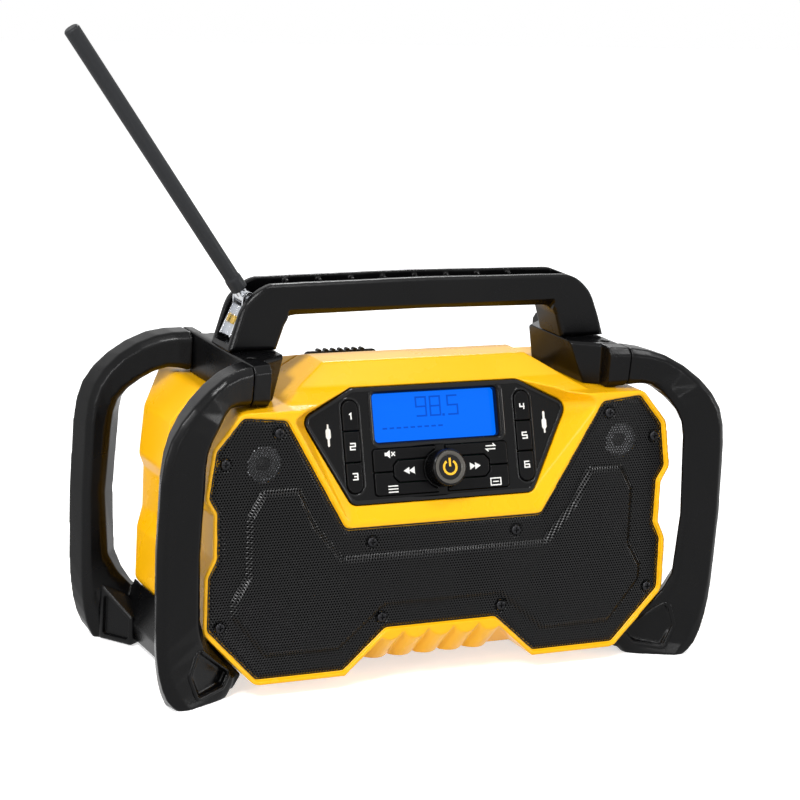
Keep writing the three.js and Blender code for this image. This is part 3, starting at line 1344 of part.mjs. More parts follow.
function terminalBlock() {
  const z1 = bayTop - seatGap;
  const z0 = z1 - terminalHeight;
  const y0 = bayFront + seatGap;
  const y1 = y0 + terminalThickness;
  const block = box(bayX - terminalHalfWidth, bayX + terminalHalfWidth, y0, y1, z0, z1);
  const blades = [];
  for (let i = 0; i < terminalBlades; i += 1) {
    const x = bayX + (i - (terminalBlades - 1) / 2) * terminalBladePitch;
    blades.push(box(x - terminalBladeHalf, x + terminalBladeHalf, y1 - terminalBladeDepth, y1 + terminalBladeDepth / 2,
      z0 - terminalBladeLength, z0 + terminalHeight / 2));
  }
  addPiece("battery_terminal", joined(block, ...blades), darkGrey);
}

function mainBoard() {
  const back = bayFront - bayWall - mainBoardStandoff - seatGap;
  const front = back - boardThickness;
  const board = box(bayX - mainBoardHalfWidth, bayX + mainBoardHalfWidth, front, back, mainBoardBottom, mainBoardTop);
  const fins = [];
  for (let i = 0; i < heatSinkFins; i += 1) {
    const x = bayX + (i - (heatSinkFins - 1) / 2) * heatSinkPitch;
    fins.push(box(x - heatSinkFin / 2, x + heatSinkFin / 2, front - heatSinkDepth, front + boardThickness / 2,
      mainBoardBottom + lip, mainBoardBottom + lip + heatSinkHeight));
  }
  addPiece("main_board", joined(board, ...fins), boardGreen);
}

function powerInlet() {
  const inlet = revolve([
    [0, -inletLength], [inletRadius, -inletLength], [inletRadius, seatGap], [inletFlangeRadius, seatGap],
    [inletFlangeRadius, seatGap + inletFlangeThickness], [inletBore, seatGap + inletFlangeThickness],
    [inletBore, -inletLength + inletFlangeThickness], [inletPin, -inletLength + inletFlangeThickness],
    [inletPin, -inletFlangeThickness], [0, -inletFlangeThickness],
  ]);
  const turn = new THREE.Matrix4().makeRotationX(-Math.PI / 2).setPosition(inletX, bodyBack, inletHeight);
  addPiece("power_inlet", moved(inlet, turn), darkGrey);
}

housings();
grille();
loudspeakers();
bezel();
display();
controlBoard();
encoderAndKnob();
presetKeys();
clusterKeys();
cageAndShoulders(bodyForm(-seatGap));
handle();
aerialBracket();
aerialMast();
batteryDoor();
doorLatch();
terminalBlock();
mainBoard();
powerInlet();

export default radio;
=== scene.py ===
# Looks of the jobsite radio: soft edges, the finely perforated grille, prints, screws and materials.
# Sizes are in millimetres and become metres where a mesh is made.

import json
import math

import bmesh
import bpy
import numpy as np
from mathutils import Matrix, Vector
from mathutils.bvhtree import BVHTree


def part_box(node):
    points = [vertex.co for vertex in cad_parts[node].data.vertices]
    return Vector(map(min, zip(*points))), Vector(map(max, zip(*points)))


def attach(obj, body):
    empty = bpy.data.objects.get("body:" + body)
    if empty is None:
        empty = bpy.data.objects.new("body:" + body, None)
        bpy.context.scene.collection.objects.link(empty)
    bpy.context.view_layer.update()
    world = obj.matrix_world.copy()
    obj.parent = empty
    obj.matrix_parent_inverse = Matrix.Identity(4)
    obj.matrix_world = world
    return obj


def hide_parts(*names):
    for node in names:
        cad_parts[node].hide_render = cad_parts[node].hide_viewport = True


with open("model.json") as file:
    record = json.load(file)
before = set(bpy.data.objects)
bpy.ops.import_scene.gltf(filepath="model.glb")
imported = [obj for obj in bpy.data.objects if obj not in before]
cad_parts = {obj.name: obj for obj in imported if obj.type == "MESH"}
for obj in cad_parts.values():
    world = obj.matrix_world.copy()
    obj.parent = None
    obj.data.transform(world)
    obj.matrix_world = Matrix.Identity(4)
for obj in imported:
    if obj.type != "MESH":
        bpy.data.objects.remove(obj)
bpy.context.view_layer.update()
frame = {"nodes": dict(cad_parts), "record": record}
nodes = frame["nodes"]
slot_of = {part["node"]: part["material_slot"] for part in frame["record"]["subparts"]}
body_of = {node: body for body, group in frame["record"]["behaviour"]["bodies"].items() for node in group}

MM = 0.001
LEAST_RADIUS = 0.001
NOT_ZERO = 1e-12
CORNER_ROOM_SHARE = 0.476
handle_low, handle_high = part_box("carry_handle")
MIDDLE_X = (handle_low.x + handle_high.x) / 2

# Camera of the photograph: its distance and target in metres
CAMERA_AZIMUTH = math.radians(-26.93)
CAMERA_ELEVATION = math.radians(13.44)
CAMERA_ROLL = math.radians(3.40)
CAMERA_DISTANCE = 1.6307
CAMERA_LENS = 112.3
CAMERA_SENSOR = 36.0
CAMERA_TARGET = (-0.0386, -0.0705, 0.1944)

# Frames of the leaning faces
FACE_LEAN = math.radians(2.6)
FACE_DEPTH = -77.6
PANEL_LEAN = math.radians(18.1)
PANEL_DEPTH = -62.3
PANEL_LEVEL = 141.9

# Body and grille outlines, as in the solids: shares of half width and height, right half
BODY_HALF_WIDTH = 170.5
BODY_HEIGHT = 188.0
BODY_CORNER = 5.0
GRILLE_SHARES = [
    (0.243, 0.21), (0.422, 0.067), (0.789, 0.067), (0.997, 0.261), (0.997, 0.449), (0.962, 0.513),
    (0.965, 0.673), (1, 0.726), (0.974, 0.888), (0.868, 1), (0.689, 0.984), (0.428, 0.585),
]
FIELD_SHARES = [
    (0.255, 0.29), (0.449, 0.144), (0.762, 0.146), (0.906, 0.303), (0.906, 0.364), (0.848, 0.447),
    (0.848, 0.654), (0.792, 0.747), (0.628, 0.747), (0.563, 0.617), (0.44, 0.489),
]

# Grille sheet
FIELD_RISE = 3.5
FIELD_SLOPE = 4.5
BORDER_WIDTH = 4.5
BORDER_DROP = 1.5
RIM_WIDTH = 1.3
RIM_HEIGHT = 0.15
RIM_FOOT = -1.35
RIM_EDGE = 0.15
RIM_EDGE_DROP = 0.1
RIM_CROWN = 0.25
HOLE_SIDES = 6
HOLE_PITCH = 2.0
HOLE_SHARE = 0.33
HOLE_ROOM_SHARE = 0.6
SHEET_THICKNESS = 0.5
THREAD_RIDGE = 0.12
SCREEN_GAP = 0.8
TWEETER_PLACE = (133.0, 157.0)
TWEETER_RADIUS = 12.0
SCREW_PLACES = [(160.0, 158.5), (123.0, 176.8), (54.0, 99.5), (45.0, 47.5), (161.0, 50.7)]
SCREW_DIMPLE = 5.2
SCREW_DIMPLE_DROP = 0.9
SCREW_DIMPLE_EASE = 1.2
SCREW_CLOSED_RADIUS = SCREW_DIMPLE - 2 * SCREW_DIMPLE_EASE
STRAIGHT_SHARE = 0.65
WELDS_PER_MM = 1e3

# Tweeter ring and dome: radius and level over the grille's face
TWEETER_RING = [
    (0, -2.9), (12.3, -2.9), (12.3, -1.2), (12.0, -0.95), (11.1, -0.95), (10.8, -1.3), (10.8, -2.5),
    (0, -2.5),
]
TWEETER_RING_STEPS = 48
TWEETER_DOME = [(0, -2.7), (5.0, -2.7), (4.5, -1.9), (2.8, -1.3), (0, -1.1)]
TWEETER_DOME_STEPS = 32

# Screw heads, as shares of their radius and height
SCREW_ARM = 0.6
SCREW_ARM_HALF = 0.14
SCREW_SIDE_SHARES = [(1, -1.2), (1, 0.2), (0.93, 0.6), (0.78, 0.9), (0.64, 1)]
SCREW_RECESS_SHARES = [1, -0.3]
GRILLE_SCREW_SIZE = (3.4, 1.3)
GRILLE_SCREW_LIFT = 0.5
SHOULDER_SCREW_SIZE = (2.9, 1.6)
REAR_SCREW_SIZE = (3.4, 1.6)

# Angles above which an edge stays sharp
SCREW_SHARP = math.radians(30)
KNOB_SHARP = math.radians(35)
TRIM_SHARP = math.radians(40)
BAND_SHARP = math.radians(50)

# Control panel, in the panel's own frame: across, up and out of its face
PANEL_HALF_WIDTH = 100.0
PANEL_HEIGHT = 77.5
PANEL_SHARES = [(0.68, -0.245), (1, 0.516), (0.625, 0.755)]
PANEL_CORNER = 7.0
PANEL_ARC_STEPS = 8
PANEL_RIM = (0.5, 3.1, 0.9)
COLUMN_X = 64.5
COLUMN_HALF_WIDTH = 6.1
COLUMN_SPAN = (-11.4, 50.7)
COLUMN_ARC_STEPS = 10
COLUMN_RIM = (-0.4, -1.7, 0.45)
WINDOW_HALF_WIDTH = 46.5
WINDOW_SPAN = (21.4, 53.8)
WINDOW_CORNER = 2.5
WINDOW_ARC_STEPS = 6
WINDOW_RIM = (-1.9, -3.9, 0.6)
LENS_LEVEL = -6.9
KEY_LEVEL = 1.2
PRINT_THICKNESS = 0.12
CLUSTER_LEVEL = 1.5
PRESET_LEVELS = (39.6, 19.8, 0.0)
PRESET_PRINT = (3.6, 4.0, 0.85)
SEEK_X = 24.8
WIDE_KEY_PLACES = {
    "upper_left": (-38.5, 13.2), "lower_left": (-37.5, -10.0),
    "upper_right": (37.5, 13.2), "lower_right": (39.5, -10.0),
}
PLUG_X = 81.0
PLUG_LEVEL = 28.0
DIGIT_SIZE = (7.4, 12.6, 1.15)
DIGIT_PITCH = 10.6
DIGITS_START = (-12.0, 37.6)
DISPLAY_NUMBER = "98.5"
POINT_WIDTH_SHARE = 0.25
POINT_STROKE_SHARE = 1.4
POINT_PITCH_SHARE = 0.35
DASHES = 9
DASH_PITCH = 5.2
DASH_LENGTH = 3.4
DASHES_START = (-38.0, 30.5)

# Raised bands: level of the foot, and shares of a band's height and half width
RIDGE_BASE = -0.4
RIDGE_SHOULDER_SHARE = 0.45
RIDGE_CROWN_SHARE = 0.85
RIDGE_CROWN_PLACE_SHARE = 0.4

# Carrying handle: shares of its half width and rise, outer corners well rounded
HANDLE_HALF_WIDTH = 141.5
HANDLE_BASE = 220.3
HANDLE_RISE = 45.3
HANDLE_RIGHT_SHARES = [(1.02, -0.1), (1, 0), (0.905, 0.7), (0.805, 0.97)]
HANDLE_LEFT_SHARES = [(1.02, -0.1), (1, 0), (0.935, 0.7), (0.82, 0.985)]
HANDLE_CROWN = 1.01
HANDLE_CORNER = 32.0
HANDLE_ARC_STEPS = 12
HANDLE_REACH = 40.0

# Foot recess: shares of the cage's half width and height, and its raised frame as
# distance outside the recess and height over the foot
CAGE_HALF_WIDTH = 210.0
CAGE_HEIGHT = 220.0
FOOT_SHARES = [(0.743, 0.045), (0.833, 0.032), (0.862, 0.1), (0.838, 0.168), (0.719, 0.077)]
FOOT_CORNER = 2.0
FOOT_FRAME = [(0.5, -0.6), (0.7, 0.6), (1.4, 1.0), (2.4, 0.95), (3.2, 0.4), (3.6, -0.6)]
RAY_REACH = 120.0

# Latch
LATCH_RIBS = 7
LATCH_RIB_PITCH = 5.6
LATCH_RIB_HALF = 1.6
LATCH_RIB_HEIGHT = 1.3
LATCH_RIB_DEPTH = 4.0
LATCH_RIB_MARGIN = 0.3
LATCH_RIB_CORNER = 1.28

# Knob
KNOB_RADIUS = 12.5
KNOB_LIFT = 1.6
KNOB_HEIGHT = 13.4
KNOB_RIBS = 40
KNOB_RIB_STEPS = 4
KNOB_RIB_DEPTH = 0.28
KNOB_BORE = 3.08
KNOB_CORE_DROP = 2.6
KNOB_WELL_DROP = 1.6
RING_RADII = (8.3, 10.9)
RING_STEPS = 64
POWER_RADIUS = 4.6
POWER_STROKE = 1.5
POWER_OPENING = (122, 418)
POWER_STEPS = 40
POWER_BAR_START = 0.6
POWER_BAR_SHARE = 1.35

# Steps of the knob's pieces: change of radius, and level over its foot or from its top
KNOB_FOOT = [(-0.6, 0), (0, 0.6)]
KNOB_SHOULDER = [(0, -2.4), (-0.35, -1.3), (-1.2, -0.5)]
KNOB_LIP_LEVEL = -0.35
RING_FOOT_LEVEL = -1.65
RING_OUTER = [(0, -0.3), (-0.5, -0.05)]
RING_INNER = [(0.6, -0.25), (0, -0.9)]
DISC_LEVELS = (-0.95, -0.8)
POWER_LEVELS = (-0.85, -0.68)

# Screws of the shoulders and the back
SHOULDER_SCREW_PLACE = (132.5, 40.5, 215.0)
REAR_SCREW_PLACES = [(148.0, 154.0), (148.0, 58.0), (62.0, 22.0)]

# Gussets between bars and crossbars
GUSSET_NEAR = (176.5, 42.0)
GUSSET_FAR = (192.5, 65.5)
GUSSET_HEIGHTS = (21.0, 41.0)
GUSSET_BASE = 0.8
GUSSET_CORNER = 2.0
GUSSET_STEPS = [(0, -13.0), (0, -0.8), (0.8, 0), (3.4, 0), (4.3, -2.8)]

# Battery door panel and grip ribs
DOOR_MARGIN = 11.0
DOOR_TOP_MARGIN = 24.2
DOOR_CORNER = 6.0
DOOR_ARC_STEPS = 6
DOOR_FRAME = (0.0, 2.2, 0.9)
DOOR_RIBS = 6
DOOR_RIB_PITCH = 7.0
DOOR_RIB_HALF = 1.7
DOOR_RIB_START = 16.0
RIB_ARC_STEPS = 5
PAD_STEPS = [(0, -0.6), (0, 0.3), (0.35, 0.75), (0.9, 1.0)]

# Moulded skins: grid size, rounds of easing and share of faces kept
SKINS = {
    "right_cage": (0.8, 13, 0.14), "left_cage": (0.8, 13, 0.14),
    "right_shoulder": (0.6, 6, 0.15), "left_shoulder": (0.6, 6, 0.15),
    "front_housing": (0.75, 5, 0.1), "rear_housing": (0.8, 5, 0.1),
    "battery_door": (0.6, 3, 0.14), "door_latch": (0.4, 3, 0.2), "aerial_mast": (0.5, 4, 0.2),
}
HANDLE_SKIN = (0.65, 6, 0.14)
KEY_SKIN = (0.3, 3, 0.2)
BEZEL_SKIN = (0.45, 2, 0.14)
SKIN_EASE = 0.5

# Surfaces: drift of colour and gloss, grain, and corners rubbed paler
DRIFT_SCALE = 22.0
DRIFT_DETAIL = 4.0
DRIFT_RANGE = (0.3, 0.7)
GRAIN_DETAIL = 3.0
GLOSS_SPREAD = 0.08
LEAST_ROUGHNESS = 0.02
BEVEL_SAMPLES = 4
RUBBED_RANGE = (0.52, 0.62)
RUBBED_GAIN = 1.3
RUBBED_LIFT = 0.03

# Sockets of a colour mix
MIX_FIRST = 6
MIX_SECOND = 7
MIX_RESULT = 2

# Studio, in metres and watts: each lamp's name, place, width, height and power
FULL_WHITE = (1.0, 1.0, 1.0, 1.0)
WORLD_STRENGTH = 0.4
FLOOR_HALF = 4.0
FLOOR_GREY = 0.85
FLOOR_ROUGHNESS = 0.8
FLOOR_SPECULAR = 0.1
FLOOR_WHITENESS = 0.62
AIM_HEIGHT = 0.14
LAMPS = [
    ("key", (-1.2, -0.9, 1.75), 0.4, 0.4, 26.0),
    ("left", (-1.75, -0.95, 0.5), 0.22, 0.8, 11.0),
    ("top", (0.4, -0.75, 2.0), 0.45, 0.25, 12.0),
    ("right", (1.75, -0.85, 0.4), 0.25, 0.6, 6.5),
    ("low", (-0.1, -1.9, 0.3), 0.4, 0.15, 2.0),
    ("back", (0.8, 1.5, 1.5), 0.5, 0.5, 15.0),
]


# Frames and outlines
def leaning_frame(depth, level, lean):
    across = Vector((1, 0, 0))
    up = Vector((0, math.sin(lean), math.cos(lean)))
    out = Vector((0, -math.cos(lean), math.sin(lean)))
    turn = Matrix((across, up, out)).transposed().to_4x4()
    return Matrix.Translation((MIDDLE_X, depth * MM, level * MM)) @ turn


FACE = leaning_frame(FACE_DEPTH, 0, FACE_LEAN)
PANEL = leaning_frame(PANEL_DEPTH, PANEL_LEVEL, PANEL_LEAN)
BODY = Matrix.Translation((MIDDLE_X, 0, 0))
LOOKING_BACK = Matrix(((-1, 0, 0), (0, 0, 1), (0, 1, 0))).to_4x4()


def from_shares(shares, width, height):
    return [(x * width, y * height) for x, y in shares]


def rectangle(left, right, low, high):
    return [(left, low), (right, low), (right, high), (left, high)]


def both_sides(half):
    return half + [(-x, y) for x, y in reversed(half) if x != 0]


def rounded(points, radius, steps=4):
    """Outline with each corner turned into an arc, within its share of the sides beside it."""
    ring = []
    count = len(points)
    for i, corner in enumerate(points):
        p = Vector(corner)
        to_before = Vector(points[i - 1]) - p
        to_after = Vector(points[(i + 1) % count]) - p
        room = min(to_before.length, to_after.length) * CORNER_ROOM_SHARE
        half = to_before.angle(to_after) / 2
        run = min(radius / math.tan(half), room)
        start = p + to_before.normalized() * run
        end = p + to_after.normalized() * run
        weight = math.sin(half)
        for step in range(steps + 1):
            t = step / steps
            a, b, c = (1 - t) ** 2, 2 * t * (1 - t) * weight, t * t
            q = (start * a + p * b + end * c) / (a + b + c)
            ring.append((q.x, q.y))
    return ring


def inset(points, distance):
    """Outline moved inward by a distance; the outline runs counterclockwise."""
    result = []
    count = len(points)
    for i, corner in enumerate(points):
        p = Vector(corner)
        before = (p - Vector(points[i - 1])).normalized()
        after = (Vector(points[(i + 1) % count]) - p).normalized()
        left = Vector((-before.y, before.x))
        right = Vector((-after.y, after.x))
        q = p + (left + right) * (distance / (1 + left.dot(right)))
        result.append((q.x, q.y))
    return result


def depth_inside(points, x, y):
    """Distance from the outline, positive inside, for arrays of places."""
    ring = np.array(points)
    nearest = np.full(x.shape, np.inf)
    inside = np.zeros(x.shape, bool)
    for (ax, ay), (bx, by) in zip(ring, np.roll(ring, -1, axis=0)):
        ex, ey = bx - ax, by - ay
        t = np.clip(((x - ax) * ex + (y - ay) * ey) / (ex * ex + ey * ey + NOT_ZERO), 0, 1)
        nearest = np.minimum(nearest, np.hypot(x - ax - t * ex, y - ay - t * ey))
        crosses = (ay > y) != (by > y)
        slope = (bx - ax) / (by - ay) if by != ay else 0
        inside ^= crosses & (x < ax + (y - ay) * slope)
    return np.where(inside, nearest, -nearest)


# Meshes
def add_mesh(name, points, faces, material, place, body="radio", slot="black_plastic", replaces=()):
    mesh = bpy.data.meshes.new(name)
    mesh.from_pydata([tuple(p) for p in points], [], faces)
    mesh.transform(place @ Matrix.Scale(MM, 4))
    mesh.validate()
    mesh.update()
    piece = bpy.data.objects.new(name, mesh)
    bpy.context.scene.collection.objects.link(piece)
    mesh.materials.append(material)
    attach(piece, body)
    if replaces:
        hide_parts(*replaces)
    return piece


def mark_sharp(mesh, angle):
    work = bmesh.new()
    work.from_mesh(mesh)
    for face in work.faces:
        face.smooth = True
    for edge in work.edges:
        edge.smooth = len(edge.link_faces) == 2 and edge.calc_face_angle(0) < angle
    work.to_mesh(mesh)
    work.free()


def face_outward(mesh):
    work = bmesh.new()
    work.from_mesh(mesh)
    bmesh.ops.recalc_face_normals(work, faces=work.faces)
    work.to_mesh(mesh)
    work.free()


def ray_tree(mesh):
    return BVHTree.FromPolygons([v.co for v in mesh.vertices], [tuple(p.vertices) for p in mesh.polygons])


def loft_faces(ring_size, ring_count, capped=True):
    faces = []
    for r in range(ring_count - 1):
        this = r * ring_size
        following = this + ring_size
        for i in range(ring_size):
            j = (i + 1) % ring_size
            faces.append((this + i, this + j, following + j, following + i))
    if capped:
        faces.append(tuple(reversed(range(ring_size))))
        last = (ring_count - 1) * ring_size
        faces.append(tuple(range(last, last + ring_size)))
    return faces


def loft(rings):
    points = [p for ring in rings for p in ring]
    return points, loft_faces(len(rings[0]), len(rings))


def band(rings):
    """Closed band through rings, the last one joined to the first."""
    closed = rings + rings[:1]
    return [p for ring in closed for p in ring], loft_faces(len(rings[0]), len(closed), capped=False)


def plate(outline, low, high):
    return loft([[(x, y, low) for x, y in outline], [(x, y, high) for x, y in outline]])


def revolve(profile, steps, centre):
    """Closed solid about the third axis from (radius, level) pairs that start and end on the axis."""
    rings = []
    for radius, level in profile:
        rings.append([
            (
                centre[0] + max(radius, LEAST_RADIUS) * math.cos(math.tau * i / steps),
                centre[1] + max(radius, LEAST_RADIUS) * math.sin(math.tau * i / steps),
                level,
            )
            for i in range(steps)
        ])
    return loft(rings)


def ridge(outline, start, end, height):
    """Closed band along an outline, between two insets, with a rounded crown."""
    middle = (start + end) / 2
    run = (middle - start) * RIDGE_CROWN_PLACE_SHARE
    shoulder = height * RIDGE_SHOULDER_SHARE
    crown = height * RIDGE_CROWN_SHARE
    profile = [
        (start, RIDGE_BASE), (start, shoulder), (start + run, crown), (middle, height),
        (end - run, crown), (end, shoulder), (end, RIDGE_BASE),
    ]
    return band([[(x, y, z) for x, y in inset(outline, distance)] for distance, z in profile])


def ribbon(line, width, low, high):
    """Flat stroke with square ends along a bent line."""
    left, right = [], []
    for i, corner in enumerate(line):
        p = Vector(corner)
        before = (p - Vector(line[i - 1])).normalized() if i > 0 else None
        after = (Vector(line[i + 1]) - p).normalized() if i + 1 < len(line) else None
        before = before or after
        after = after or before
        side_before = Vector((-before.y, before.x))
        side_after = Vector((-after.y, after.x))
        offset = (side_before + side_after) * (width / 2 / (1 + side_before.dot(side_after)))
        left.append(p + offset)
        right.append(p - offset)
    count = len(line)
    points = []
    for level in (low, high):
        points += [(p.x, p.y, level) for p in left] + [(p.x, p.y, level) for p in right]
    faces = []
    for i in range(count - 1):
        a, b, c, d = i, i + 1, count + i + 1, count + i
        faces += [(a, b, c, d), tuple(2 * count + k for k in (d, c, b, a))]
        faces += [(b, a, 2 * count + a, 2 * count + b), (d, c, 2 * count + c, 2 * count + d)]
    last = count - 1
    faces += [(0, count, 3 * count, 2 * count), (count + last, last, 2 * count + last, 3 * count + last)]
    return points, faces


def moved(solid, x, y):
    points, faces = solid
    return [(p[0] + x, p[1] + y, p[2]) for p in points], faces


def moulded(name, voxel, rounds, keep, material=None, within=None):
    """Skin of a node with its edges rounded off as moulding leaves them."""
    scene = bpy.context.scene
    source = bpy.data.objects.new("source", nodes[name].data.copy())
    scene.collection.objects.link(source)
    if within:
        trim = source.modifiers.new("trim", "BOOLEAN")
        trim.operation = "INTERSECT"
        trim.object = within
    grid = source.modifiers.new("grid", "REMESH")
    grid.mode = "VOXEL"
    grid.voxel_size = voxel * MM
    grid.use_smooth_shade = True
    ease = source.modifiers.new("ease", "SMOOTH")
    ease.factor = SKIN_EASE
    ease.iterations = rounds
    thin = source.modifiers.new("thin", "DECIMATE")
    thin.ratio = keep
    source.modifiers.new("normals", "WEIGHTED_NORMAL")
    graph = bpy.context.evaluated_depsgraph_get()
    mesh = bpy.data.meshes.new_from_object(source.evaluated_get(graph), depsgraph=graph)
    bpy.data.objects.remove(source)
    mesh.name = name + "_skin"
    mesh.materials.clear()
    mesh.materials.append(material or SLOT_MATERIALS[slot_of[name]])
    piece = bpy.data.objects.new(name + "_skin", mesh)
    scene.collection.objects.link(piece)
    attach(piece, body_of[name])
    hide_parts(name)


def combined(*solids):
    points, faces = [], []
    for more_points, more_faces in solids:
        start = len(points)
        points += more_points
        faces += [tuple(i + start for i in face) for face in more_faces]
    return points, faces


# Materials
def linear(red, green, blue):
    def channel(value):
        value /= 255
        return value / 12.92 if value <= 0.04045 else ((value + 0.055) / 1.055) ** 2.4
    return (channel(red), channel(green), channel(blue), 1.0)


def shaded(colour, share):
    return tuple(channel * share for channel in colour[:3]) + (1.0,)


def surface(name, colour, roughness, grain=1400.0, bump=0.00004, edge=0.0, metallic=0.0, specular=0.5,
            drift=0.12, wear=0.0, glow=None, glow_strength=0.0):
    """Procedural surface: fine grain, slow drift of colour and gloss, rounded edges and rubbed corners."""
    material = bpy.data.materials.new(name)
    material.use_nodes = True
    tree = material.node_tree
    shader = tree.nodes["Principled BSDF"]
    link = tree.links.new

    place = tree.nodes.new("ShaderNodeTexCoord")
    slow = tree.nodes.new("ShaderNodeTexNoise")
    slow.inputs["Scale"].default_value = DRIFT_SCALE
    slow.inputs["Detail"].default_value = DRIFT_DETAIL
    link(place.outputs["Object"], slow.inputs["Vector"])
    tint = tree.nodes.new("ShaderNodeMix")
    tint.data_type = "RGBA"
    tint.inputs[MIX_FIRST].default_value = shaded(colour, 1 - drift)
    tint.inputs[MIX_SECOND].default_value = shaded(colour, 1 + drift / 2)
    link(slow.outputs["Fac"], tint.inputs[0])
    link(tint.outputs[MIX_RESULT], shader.inputs["Base Color"])

    fine = tree.nodes.new("ShaderNodeTexNoise")
    fine.inputs["Scale"].default_value = grain
    fine.inputs["Detail"].default_value = GRAIN_DETAIL
    link(place.outputs["Object"], fine.inputs["Vector"])
    gloss = tree.nodes.new("ShaderNodeMapRange")
    gloss.inputs["From Min"].default_value = DRIFT_RANGE[0]
    gloss.inputs["From Max"].default_value = DRIFT_RANGE[1]
    gloss.inputs["To Min"].default_value = max(roughness - GLOSS_SPREAD, LEAST_ROUGHNESS)
    gloss.inputs["To Max"].default_value = roughness + GLOSS_SPREAD
    link(slow.outputs["Fac"], gloss.inputs["Value"])
    link(gloss.outputs["Result"], shader.inputs["Roughness"])

    relief = tree.nodes.new("ShaderNodeBump")
    relief.inputs["Strength"].default_value = 1.0
    relief.inputs["Distance"].default_value = bump
    link(fine.outputs["Fac"], relief.inputs["Height"])
    if edge > 0:
        soft = tree.nodes.new("ShaderNodeBevel")
        soft.samples = BEVEL_SAMPLES
        soft.inputs["Radius"].default_value = edge
        link(soft.outputs["Normal"], relief.inputs["Normal"])
    link(relief.outputs["Normal"], shader.inputs["Normal"])

    if wear > 0:
        geometry = tree.nodes.new("ShaderNodeNewGeometry")
        rub = tree.nodes.new("ShaderNodeMapRange")
        rub.inputs["From Min"].default_value = RUBBED_RANGE[0]
        rub.inputs["From Max"].default_value = RUBBED_RANGE[1]
        rub.inputs["To Min"].default_value = 0.0
        rub.inputs["To Max"].default_value = wear
        link(geometry.outputs["Pointiness"], rub.inputs["Value"])
        worn = tree.nodes.new("ShaderNodeMix")
        worn.data_type = "RGBA"
        rubbed = tuple(min(channel * RUBBED_GAIN + RUBBED_LIFT, 1.0) for channel in colour[:3])
        worn.inputs[MIX_SECOND].default_value = rubbed + (1.0,)
        link(rub.outputs["Result"], worn.inputs[0])
        link(tint.outputs[MIX_RESULT], worn.inputs[MIX_FIRST])
        link(worn.outputs[MIX_RESULT], shader.inputs["Base Color"])

    shader.inputs["Metallic"].default_value = metallic
    shader.inputs["Specular IOR Level"].default_value = specular
    if glow:
        shader.inputs["Emission Color"].default_value = glow
        shader.inputs["Emission Strength"].default_value = glow_strength
    return material


YELLOW = surface("yellow_shell", linear(252, 186, 10), 0.28, bump=0.00002, edge=0.0012, specular=0.28,
                 drift=0.05, wear=0.12)
BLACK = surface("black_plastic", linear(6, 6, 7), 0.27, bump=0.000012, edge=0.0008, specular=0.18, wear=0.04)
SATIN = surface("satin_black", linear(8, 8, 9), 0.22, bump=0.00001, edge=0.0006, specular=0.18)
KEYS = surface("key_rubber", linear(10, 10, 11), 0.34, bump=0.00002, edge=0.0004, specular=0.12)
GLOSS = surface("gloss_black", linear(6, 6, 7), 0.12, bump=0.000005, edge=0.0004, specular=0.34)
SHEET = surface("grille_paint", linear(6, 6, 7), 0.26, bump=0.00001, specular=0.3)
SCREEN = surface("grille_screen", linear(3, 3, 3), 0.9, specular=0.03)
GREY = surface("grey_plastic", linear(30, 30, 32), 0.4, edge=0.0004, specular=0.2)
JACKET = surface("aerial_jacket", linear(40, 41, 43), 0.42, edge=0.0005, specular=0.16)
STEEL = surface("bright_steel", linear(226, 228, 232), 0.24, metallic=1.0, bump=0.00002, edge=0.0003)
SCREW_BLACK = surface("screw_black", linear(52, 52, 54), 0.3, metallic=1.0, bump=0.00001, edge=0.0002)
DARK_STEEL = surface("dark_steel", linear(96, 96, 98), 0.35, metallic=1.0, bump=0.00002, edge=0.0003)
BRASS = surface("brass", linear(238, 196, 92), 0.26, metallic=1.0, bump=0.00002, edge=0.0002)
BOARD = surface("circuit_board", linear(28, 92, 56), 0.35, bump=0.00001)
CONE = surface("speaker_cone", linear(22, 22, 23), 0.85, grain=900.0, bump=0.00012, specular=0.2)
BASKET = surface("speaker_steel", linear(140, 142, 146), 0.4, metallic=0.9, edge=0.0004)
BLUE = surface("blue_display", linear(1, 24, 84), 0.12, bump=0.000002, drift=0.04, specular=0.06,
               glow=linear(4, 112, 251), glow_strength=0.96)
DIGITS = surface("display_digits", linear(1, 18, 62), 0.3, bump=0.000002, drift=0.04, specular=0.06,
                 glow=linear(3, 84, 214), glow_strength=0.9)
WHITE = surface("white_print", linear(238, 238, 234), 0.5, bump=0.000005, drift=0.03, specular=0.3)
# Amber print of the power symbol, with a faint emission of its own colour: a painted glow, since the print is
# no lamp.
AMBER_PRINT_PAINTED_GLOW = surface("amber_print_painted_glow", linear(236, 178, 36), 0.4, bump=0.000005, drift=0.04,
                glow=linear(236, 178, 36), glow_strength=0.2)
# Grey ring on the knob's top: its light grey is partly the ring's own tone and partly a painted highlight of
# the knob's rim.
RING_GREY_AND_PAINTED_HIGHLIGHT = surface("ring_grey_and_painted_highlight", linear(78, 75, 70), 0.3, bump=0.00001, drift=0.08, specular=0.4)

SLOT_MATERIALS = {
    "yellow_shell": YELLOW, "black_plastic": BLACK, "key_rubber": KEYS, "knob_plastic": SATIN,
    "grille_metal": SHEET, "grey_plastic": GREY, "aerial_jacket": JACKET, "bright_steel": STEEL,
    "brass": BRASS, "blue_display": BLUE, "circuit_board": BOARD, "speaker_paper": CONE,
    "speaker_steel": BASKET,
}
for node_name, node in nodes.items():
    node.data.materials.clear()
    node.data.materials.append(SLOT_MATERIALS[slot_of[node_name]])
nodes["control_bezel"].data.materials[0] = SATIN


